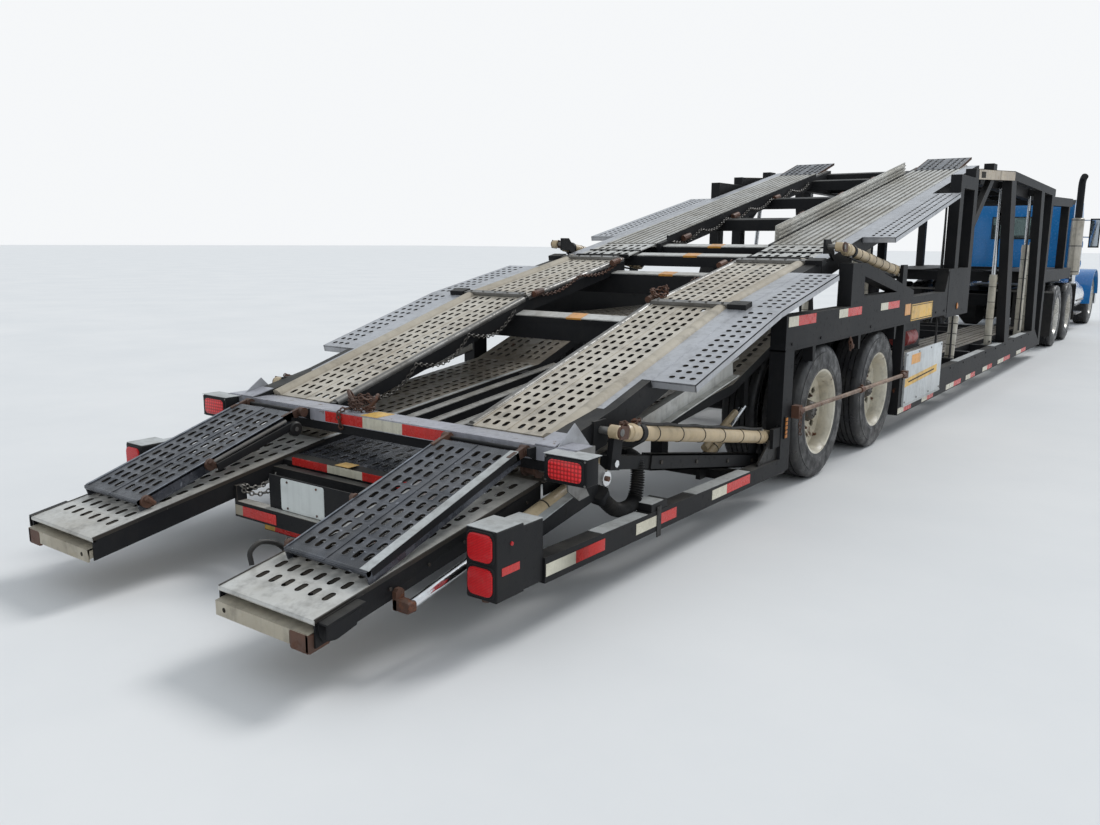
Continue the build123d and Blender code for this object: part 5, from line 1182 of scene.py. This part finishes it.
def lift_plate(at, out_a, out_b, *corners):
    """A flat plate beside a lift, from corners of distance along it and distance below it."""
    line = [at(distance, below) for distance, below in corners]
    return side_plate([(p[0], p[2]) for p in line], out_a, out_b)


def lift_beam(at, start, end, low, high, out_a, out_b):
    """A straight bar that runs beside a lift between two distances below it."""
    return lift_plate(at, out_a, out_b, (start, low), (end, low), (end, high), (start, high))


# How far the mouth is from the eye, how far the rod reaches back into it, and how far the hose hangs below
LIFT_SIZES = {"rear": (0.075, 0.86, -0.05), "mid": (0.1, 0.6, 0.05)}
for name, (head, reach, below) in LIFT_SIZES.items():
    at, run = along_lift(name)
    fixed, moving = Shape(), Shape()
    mouth = run - head
    fixed.add(tube([at(k) for k in (0.038, 0.044, mouth - 0.012, mouth)], (0.034, 0.04, 0.04, 0.036), 24),
              CREAM)
    for k in (0.06, mouth - 0.075):
        fixed.add(collar(at, k, k + 0.05, 0.004, 0.0445, 0.041), CREAM)
    fixed.add(collar(at, mouth - 0.15, mouth - 0.106, 0.004, 0.048, 0.044, 20), BLACK)
    for k in np.linspace(0.16, mouth - 0.28, 6):
        fixed.add(tube([at(k), at(k + 0.006)], 0.0425, 20), RUBBER)
    pin, eye = LIFTS[name]
    fixed.add(tube(places(pin[0], (LIFT_OUT - 0.022, LIFT_OUT + 0.022), pin[1]), 0.043, 20), CREAM)
    hose = np.array([at(0.1 + (mouth - 0.2) * k, below + 0.006 * abs(math.sin(k * 5 * math.pi)),
                        LIFT_OUT + 0.012) for k in np.linspace(0, 1, 40)])
    fixed.add(tube(hose, 0.0085, 8), RUBBER)
    for k, end in ((0.1, hose[0]), (mouth - 0.1, hose[-1])):
        fixed.add(tube([at(k, 0, LIFT_OUT + 0.01), end], 0.012, 8, (0, 1, 0)), STEEL)
    moving.add(tube([at(mouth - reach), at(run - 0.02)], 0.024, 20), ROD)
    cap = places(eye[0], np.add(LIFT_OUT, (-0.03, -0.026, 0.02, 0.024)), eye[1])
    moving.add(tube(cap, (0.028, 0.032, 0.032, 0.028), 20), CREAM)
    moving.add(tube(places(eye[0], (1.1323, LIFT_OUT + 0.036), eye[1]), 0.018), STEEL)
    moving.add(tube(places(eye[0], (LIFT_OUT + 0.024, LIFT_OUT + 0.032), eye[1]), 0.028), RUSTY)
    for o in (LIFT_OUT - 0.034, LIFT_OUT + 0.028):
        moving.add(lift_plate(at, o, o + 0.006, (run - 0.062, -0.03), (run + 0.01, -0.034),
                              (run + 0.01, 0.034), (run - 0.062, 0.03)), RUSTY)
    if name == "rear":
        for low, high, o0, o1 in ((0.192, 0.184, 1.128, 1.19), (0.116, 0.108, 1.128, 1.19),
                                  (0.192, 0.108, 1.128, 1.134), (0.192, 0.108, 1.184, 1.19)):
            fixed.add(lift_beam(at, 0.0, run - 0.42, low, high, o0, o1), BLACK)
        fixed.add(lift_beam(at, 0.04, 0.16, 0.11, -0.02, 1.183, 1.19), BLACK)
        heads = [at(k, 0.15, 1.19) for k in (0.1, 0.45, 0.85, 1.25)]
        fixed.add(hex_heads(heads, (0, 1, 0), 0.012, 0.006), BLACK_EDGE)
        moving.add(lift_beam(at, run - 1.25, run - 0.02, 0.183, 0.117, 1.137, 1.181), BLACK)
        moving.add(lift_beam(at, run - 0.1, run - 0.02, 0.183, -0.008, 1.17, 1.2), BLACK)
        moving.add(hex_heads([at(run - 0.05, 0.15, 1.2)], (0, 1, 0), 0.019, 0.014), CHROME)
        for shape, start, step, above, sway in ((moving, 0.046, 0.002, 0.04, 0.008),
                                                (fixed, 0.15, 0.004, 0.052, 0.01)):
            pile = [at(run - start - step * k, sway * math.sin(2.2 * k) - above,
                       LIFT_OUT + 0.016 * math.sin(1.1 * k)) for k in np.linspace(0, 13.0, 60)]
            shape.add(chain(pile, 0.028, 0.004), RUSTY)
    fixed.make(f"{name}_lift_barrel_tubes", f"{name}_lift_barrels", f"{name}_lift_barrels")
    moving.make(f"{name}_lift_rod_bars", f"{name}_lift_rods", f"{name}_lift_rods")


# Upright cylinders beside the posts
def sleeve(low, high, radius):
    """A hollow upright tube for a rod to slide in: a rectangle of (height, radius) turned about its axis."""
    bore = 0.027
    outline = [(-low, radius), (-high + 0.002, radius), (-high, radius - 0.002), (-high, bore), (-low, bore)]
    points, faces = turned(outline, SLEEVE_AT, 0.0, POST_OUT, 24)
    return points[:, [0, 2, 1]], faces


UPRIGHT = (1, 0, 0)
COLLARS, BANDS = (0.02, 0.92), (0.2, 0.42, 0.64, 0.84)
uprights = Shape()
foot, reach = 0.34, 0.91
uprights.add(sleeve(foot, foot + reach, 0.042), WHITE_BARREL)
for k in COLLARS:
    uprights.add(sleeve(foot + reach * k, foot + reach * (k + 0.05), 0.046), WHITE_BARREL)
for k in BANDS:
    uprights.add(sleeve(foot + reach * k, foot + reach * k + 0.007, 0.0445), RUBBER)
uprights.add(boxes((SLEEVE_AT - 0.06, SLEEVE_AT + 0.06, 1.11, 1.215, 0.3, 0.352)), BLACK)
for foot_at, head_at, share, head in ((4.045, 4.364, 0.28, 2.2), (7.9, 7.9, 0.66, 2.245),
                                      (8.48, 8.48, 0.68, 2.245)):
    uprights.add(boxes((foot_at - 0.06, foot_at + 0.06, POST_OUT - 0.04, 1.215, 0.3, 0.352)), BLACK)
    start, end = np.array((foot_at, POST_OUT, 0.346)), np.array((head_at, POST_OUT, head + 0.005))
    span = (end - start) * share
    mouth = start + span
    uprights.add(tube([mouth - (end - start) * 0.02, end], 0.022, 16, UPRIGHT), ROD)
    uprights.add(boxes((head_at - 0.04, head_at + 0.04, POST_OUT - 0.022, 1.195, head, head + 0.1)), BLACK)
    uprights.add(tube([start, mouth - span * 0.01, mouth], (0.046, 0.046, 0.042), 20, UPRIGHT), WHITE_BARREL)
    for k in COLLARS:
        uprights.add(tube([start + span * k, start + span * (k + 0.05)], 0.05, 20, UPRIGHT), WHITE_BARREL)
    band = span / np.linalg.norm(span) * 0.007
    for k in BANDS:
        uprights.add(tube([start + span * k, start + span * k + band], 0.0485, 18, UPRIGHT), RUBBER)
uprights.add(boxes((8.9, 9.01, 1.215, 1.275, 0.195, 0.26), (8.9, 8.995, 1.22, 1.27, 1.69, 1.77)), BLACK)
uprights.add(tube(places(8.96, 1.245, (0.255, 1.1)), 0.034, 18, UPRIGHT), WHITE_BARREL)
uprights.add(tube(places(8.96, 1.245, (1.09, 1.7)), 0.02, 16, UPRIGHT), ROD)
uprights.make("post_cylinder_tubes", "trailer", "post_cylinders")
rods = Shape()
rods.add(tube(places(SLEEVE_AT, POST_OUT, (1.19, 2.2547)), 0.024, 20, UPRIGHT), ROD)
rods.make("front_deck_rod_bars", "front_deck_rods", "front_deck_rods")


# Cylinders under the lower deck
def tail_point(station):
    """A place on the tail cylinder's axis."""
    return (station, 1.072, 0.25 + 0.22 * (station + 3.81))


under = Shape()
under.add(tube([tail_point(-3.81), tail_point(-3.25)], 0.021, 18), CHROME)
under.add(collar(tail_point, -3.3, -2.45, 0.005, 0.036, 0.033, 20), CREAM)
for station in np.linspace(-3.15, -2.6, 4):
    under.add(tube([tail_point(station), tail_point(station + 0.006)], 0.0385, 18), RUBBER)
lug = ((-3.832, 0.228), (-3.788, 0.228), (-3.788, 0.3), (-3.8, 0.312), (-3.82, 0.312), (-3.832, 0.3))
under.add(side_plate(lug, 1.01, 1.03), RUSTY)
under.add(pad(places((-3.832, -3.829, -3.792, -3.788), 1.052, 0.25), 0.086, 0.046, 0.012,
              (0.004, 0, 0, 0.004)), RUSTY)
under.add(boxes((-2.48, -2.42, 1.03, 1.092, 0.52, 0.562)), RUSTY)
beam = ((-3.18, 0.33), (-3.18, 0.392), (-2.7, 0.505), (-2.64, 0.505), (-2.64, 0.42), (-2.76, 0.4))
under.add(side_plate(beam, 1.108, 1.15), BLACK)
under.add(planks((-3.18, 0.392), (-2.7, 0.505), (0.0, 0.493, 1.106, 1.152, 0.0, 0.004)), PALE_TOP)
tilt_foot, tilt_mouth, tilt_head = places((-1.24, -0.9, -0.68), 0.985, (0.3, 0.458, 0.56))
barrel = tilt_mouth - tilt_foot
under.add(tube([tilt_foot, tilt_mouth], 0.036, 18), CREAM)
under.add(tube([tilt_mouth - (tilt_head - tilt_mouth) * 0.05, tilt_head], 0.022, 16), ROD)
for k in (0.15, 0.4, 0.65, 0.9):
    place = tilt_foot + barrel * k
    under.add(tube([place, place + barrel * 0.016], 0.0385, 16), RUBBER)
under.add(tube([tilt_foot + (0.02, 0.0, 0.085), tilt_mouth + (0.1, 0.0, 0.085)], 0.022), CREAM)
under.add(boxes((-1.29, -1.195, 0.97, 1.0, 0.205, 0.33)), BLACK)
bracket = ((-0.71, 0.54), (-0.65, 0.54), (-0.65, height_at(LOW_LINE, -0.65) - 0.0083),
           (-0.71, height_at(LOW_LINE, -0.71) - 0.0083))
under.add(side_plate(bracket, 0.971, 0.999), BLACK)
under.make("under_deck_cylinder_tubes", "trailer", "lower_deck_cylinders")
# Hoses, conduits and chains
hoses = Shape()
loom = bent([(-2.29, 1.1, 0.56), (-2.296, 1.15, 0.535), (-2.318, 1.172, 0.445), (-2.372, 1.185, 0.352),
             (-2.47, 1.19, 0.336), (-2.56, 1.185, 0.36), (-2.626, 1.15, 0.43)], 44)
ridges = 0.0325 + 0.005 * np.sin(np.arange(len(loom)) * 1.25)
hoses.add(tube(loom, ridges, 16), RUBBER)
hoses.add(boxes((-2.32, -2.262, 1.032, 1.102, 0.53, 0.59)), BLACK)
hoses.add(swept([(-2.64, 1.154, 0.452), (-2.612, 1.146, 0.412)], rounded(0.08, 0.08, 0.02), (0, 1, 0)), BLACK)
t = np.linspace(0, 1, 24)
for post, out in ((3.3, 1.18), (3.94, 1.178), (7.8, 1.178), (8.72, 1.18)):
    for k, shift in enumerate((0.0, 0.026)):
        path = places(post + shift + 0.01 * np.sin(t * 9 + k * 2), out, 0.45 + 1.6 * t)
        hoses.add(tube(path, 0.0085, 8, UPRIGHT), RUBBER)
for post_a, post_b, low in ((3.32, 4.1, 1.39), (5.9, 6.4, 0.45)):
    path = places(np.linspace(post_a, post_b, 16), 1.18, low + 0.015 * np.sin(np.linspace(0, 6, 16)))
    hoses.add(tube(path, 0.009, 8), RUBBER)
hoses.make("hose_runs", "trailer")


def drape(a, b, margin, end, out, above, sag, loops, steps=40):
    """A path hung along a side view line, its drop below a height sag * |sin| between its ties."""
    t = np.linspace(0, 1, steps)
    along = margin + t * (frame_of(a, b)[0] - end)
    return laid(a, b, places(along, out, above - sag * np.abs(np.sin(t * loops * math.pi))))


hung = Shape()
hung.add(chain(drape(*REAR_LINE[:2], 0.15, 0.3, 0.47, -0.03, 0.085, 3)), HUB)
a, b = REAR_LINE[1:]
hung.add(chain(drape(a, b, 0.05, 0.1, 0.47, 0.01, 0.05, 2)), RUSTY)
for at in (0.1, 1.12):
    hung.add(tube(laid(a, b, places((at - 0.05, at + 0.05), 0.455, 0.012)), 0.022, 10), RUSTY)
for turn, lift in ((0.0, 0.02), (1.7, 0.036), (3.1, 0.052)):
    t = turn + np.linspace(0, 5.2, 22)
    heap = places(0.16 + 0.06 * np.cos(t), 0.48 + 0.045 * np.sin(t), lift + 0.008 * np.sin(2.1 * t))
    hung.add(chain(laid(a, b, heap), 0.036, 0.005), RUSTY, RIGHT)
hung.make("rear_deck_chains", "rear_deck")
hung = Shape()
a, b = stretch(MID_LINE, 0.9, 4.3)
hung.add(chain(drape(a, b, 0.05, 0.3, 0.462, -0.02, 0.05, 6, 90), 0.036), HUB)
for at in (0.3, 1.3, 2.3):
    hung.add(tube(laid(a, b, places((at - 0.06, at + 0.06), 0.462, -0.03)), 0.026, 10), RUSTY, LEFT)
hung.make("mid_deck_chains", "mid_deck")
hung = Shape()
for loop in (((-3.46, 0.442, 0.395), (-3.42, 0.438, 0.352), (-3.33, 0.43, 0.33), (-3.22, 0.436, 0.365),
              (-3.19, 0.448, 0.43), (-3.1, 0.454, 0.47)),
             ((-3.45, 0.444, 0.395), (-3.36, 0.44, 0.365), (-3.27, 0.438, 0.392), (-3.18, 0.446, 0.44),
              (-3.06, 0.455, 0.48))):
    hung.add(chain(bent(loop, 8)), STEEL)
hung.make("tail_chains", "trailer")

# Front and head decks, neck and legs
# The lane tops under the punched sheets are painted shade, seen through the holes
lane_top_painted_shade = (PAINTED_SHADE,
            lambda s, o, h, n: (n > 0.6) & (np.abs(o) < LANE_OUT + 0.001) & (np.abs(o) > LANE_IN - 0.001))
channel_top = (WING, lambda s, o, h, n: (n > 0.6) & (np.abs(o) > LANE_OUT))
softened("front_deck", "front_deck", BLACK, lane_top_painted_shade, channel_top)
softened("head_deck", "trailer", BLACK, lane_top_painted_shade, channel_top)
for name, body, line in (("front_deck", "front_deck", FRONT_LINE), ("head_deck", "trailer", HEAD_LINE)):
    sheets = Shape()
    sheets.punched(*line, LANE_IN, LANE_OUT, PLANK, seam=0.02, spacing=0.068, thick=0.0025, lift=0.003,
                   lip=0.0)
    sheets.make(name + "_sheets", body)
softened("neck", "trailer", BLACK)
softened("landing_legs", "trailer", BLACK)
softened("trailer_axles", "trailer", BLACK, bevel=0)

# Tractor
for node in ("tractor_frame", "fifth_wheel", "drive_axles", "steer_axle"):
    softened(node, "tractor", BLACK, bevel=0.002)
for word in ("left", "right"):
    softened(f"knuckle_{word}", f"knuckle_{word}", HUB, bevel=0.002)
softened("engine", "tractor", ENGINE, bevel=0.02)
softened("catwalk", "tractor", STEEL, bevel=0.002)
softened("front_bumper", "tractor", CHROME, bevel=0.02)
softened("cab", "tractor", BLUE,
         (TRIM, lambda s, o, h, n: (np.abs(o) < 0.975) & (s > 13.39) & (s < 14.95) & (h > 1.04) & (h < 2.39)),
         bevel=0.022)
softened("cab_glass", "tractor", GLASS, bevel=0)
softened("cab_interior", "tractor", SEAT, (TRIM, lambda s, o, h, n: s > 14.6), bevel=0.03)
for word, side in reversed(SIDES):
    softened(f"door_{word}", f"door_{word}", BLUE,
             (GLASS, lambda s, o, h, n: (np.abs(o) < 0.998) & (np.abs(o) > 0.988) & (h > 1.68)),
             (CHROME, lambda s, o, h, n: (np.abs(o) > 1.03) & (s < 14.75)),
             (BLACK, lambda s, o, h, n: (np.abs(o) > 1.158) & (s < 14.75) & (h > 1.555)), bevel=0.004)
    mirror = Shape((side,))
    mirror.add(pad(places((14.5705, 14.569, 14.568), 1.2475, 1.835), 0.14, 0.5, 0.02, (0, 0, 0.003)), MIRROR_PAINTED_REFLECTION)
    mirror.make(f"mirror_glass_{word}", f"door_{word}")
softened("hood", "hood", BLUE, bevel=0.006)
softened("grille_and_lamps", "hood", CHROME, (CLEAR_LENS, lambda s, o, h, n: np.abs(o) > 0.7), bevel=0.004)
softened("fuel_tanks", "tractor", CHROME, bevel=0.006)

STACK_AT, STACK_OUT = 13.22, 1.11
stack = Shape(RIGHT)
pipe = bent([(STACK_AT, STACK_OUT, 1.075), (13.222, STACK_OUT, 0.985), (13.27, 1.1, 0.915),
             (13.34, 1.085, 0.88)], 8)
stack.add(tube(pipe, 0.052, 20, (0, 1, 0)), CHROME)
stack.add(tube(places(STACK_AT, STACK_OUT, (1.07, 1.085, 2.075, 2.09)), (0.075, 0.104, 0.104, 0.075), 28,
               UPRIGHT), SHIELD)
for high in (1.12, 1.58, 2.04):
    stack.add(tube(places(STACK_AT, STACK_OUT, (high, high + 0.022)), 0.1055, 28, UPRIGHT), STEEL)
stack.add(tube(places(STACK_AT, STACK_OUT, (2.08, 2.67)), 0.06, 22, UPRIGHT), BLACK)
elbow = bent([(STACK_AT, STACK_OUT, 2.66), (13.212, 1.114, 2.72), (13.17, 1.13, 2.778),
              (13.112, 1.154, 2.812)], 6)
stack.add(tube(elbow, 0.058, 22, (0, 1, 0)), BLACK)
stack.add(boxes((13.19, 13.25, 0.43, 1.11, 1.0, 1.05), (13.19, 13.25, 0.43, 0.51, 0.865, 1.01)), BLACK)
stack.make("exhaust_stack", "tractor", "exhaust")

cab_trim = Shape()
seal = ((-0.345, -0.325, 1.71, 2.12), (0.325, 0.345, 1.71, 2.12), (-0.345, 0.345, 2.105, 2.122),
        (-0.345, 0.345, 1.708, 1.725))
cab_trim.add(boxes(*[(13.344, 13.352, *row) for row in seal]), RUBBER, RIGHT)
cab_trim.add(boxes(*[(13.346, 13.35, o, o + 0.012, 1.05, 1.66) for o in (-0.82, -0.42, 0.0, 0.42, 0.82)]),
             BLUE, RIGHT)
handle = places((13.345, 13.3, 13.3, 13.345), 0.88, (1.25, 1.3, 1.9, 1.95))
cab_trim.add(tube(handle, 0.014, 10, (0, 1, 0)), CHROME)
cab_trim.add(boxes((13.9, 14.8, 0.8, 1.16, 0.56, 0.585), (14.0, 14.8, 0.95, 1.15, 0.3, 0.325)), STEEL)
cab_trim.add(boxes((14.02, 14.05, 0.96, 1.0, 0.32, 0.56), (14.75, 14.78, 0.96, 1.0, 0.32, 0.56)), BLACK)
for o in (-0.8, -0.4, 0.0, 0.4, 0.8):
    cab_trim.add(tube(places(14.36, o, (2.418, 2.44, 2.452)), (0.034, 0.034, 0.02), 14, UPRIGHT), AMBER_LENS,
                 RIGHT)
for o in (-0.42, 0.36):
    wiper = [(14.968, o, 1.79), (14.905, o + 0.05, 1.88), (14.79, o + 0.28, 2.06)]
    cab_trim.add(tube(wiper, 0.007, 6), RUBBER, RIGHT)
cab_trim.make("cab_trim_parts", "tractor")

hood_trim = Shape()
for high in 0.93 + np.arange(11) * 0.042:
    hood_trim.add(boxes((17.0, 17.012, -0.53, 0.53, high, high + 0.014)), STEEL, RIGHT)
# A near-black sheet behind the grille bars: painted shade of the space behind them
hood_trim.add(boxes((17.001, 17.01, -0.535, 0.535, 0.915, 1.36)), PAINTED_SHADE, RIGHT)
border = ((-0.56, -0.53, 0.89, 1.38), (0.53, 0.56, 0.89, 1.38), (-0.56, 0.56, 1.36, 1.382),
          (-0.56, 0.56, 0.888, 0.91))
hood_trim.add(boxes(*[(17.0, 17.014, *row) for row in border]), CHROME, RIGHT)
hood_trim.add(boxes(*[(s, s + 0.022, 0.64, 0.646, 1.25, 1.42) for s in np.arange(15.35, 16.1, 0.05)]), BLUE)
hood_trim.add(boxes((15.02, 16.9, 0.64, 0.644, 1.18, 1.192)), CHROME)
hood_trim.add(boxes(*[(16.7, 16.712, 0.74, 1.15, h, h + 0.02) for h in (0.77, 0.97)]), CHROME)
hood_trim.make("hood_trim_parts", "hood")

flaps = Shape()
flaps.add(boxes((10.02, 10.032, 0.7, 1.27, 0.2, 0.88), (12.56, 12.572, 0.7, 1.27, 0.3, 0.92)), RUBBER)
flaps.add(boxes((10.012, 10.04, 0.43, 1.27, 0.87, 0.9), (12.552, 12.58, 0.43, 1.27, 0.91, 0.94)), STEEL)
flaps.make("mud_flaps", "tractor")

# Floor, light and background
floor_paint = Recipe("floor_paint")
shades = floor_paint.mix(floor_paint.patches(0.6, 0.35, 0.65, 5), (0.68, 0.685, 0.685), (0.72, 0.72, 0.715))
floor_paint.look(Base_Color=shades, Roughness=0.85)
floor = linked("floor", bpy.data.meshes.new("floor"))
floor.data.from_pydata([(-220, -220, 0), (220, -220, 0), (220, 220, 0), (-220, 220, 0)], [], [(0, 1, 2, 3)])
floor.data.materials.append(floor_paint.material)

world = bpy.data.worlds.new("world")
bpy.context.scene.world = world
world.use_nodes = True
nodes, links = world.node_tree.nodes, world.node_tree.links
sky = nodes["Background"]
sky.inputs["Color"].default_value = (0.88, 0.94, 1.0, 1)
sky.inputs["Strength"].default_value = 0.78
backdrop = nodes.new("ShaderNodeBackground")
backdrop.inputs["Color"].default_value = (0.92, 0.935, 0.95, 1)
rays = nodes.new("ShaderNodeLightPath")
seen = nodes.new("ShaderNodeMath")
seen.operation = "MAXIMUM"
links.new(rays.outputs["Is Camera Ray"], seen.inputs[0])
links.new(rays.outputs["Is Transmission Ray"], seen.inputs[1])
choice = nodes.new("ShaderNodeMixShader")
for socket, made in zip(choice.inputs, (seen, sky, backdrop)):
    links.new(made.outputs[0], socket)
links.new(choice.outputs[0], nodes["World Output"].inputs["Surface"])
sun = linked("sun", bpy.data.lights.new("sun", "SUN"))
sun.data.energy = 1.5
sun.data.angle = 0.35
sun.rotation_euler = (math.radians(38), math.radians(-24), math.radians(10))
bpy.context.scene.view_settings.view_transform = "Standard"
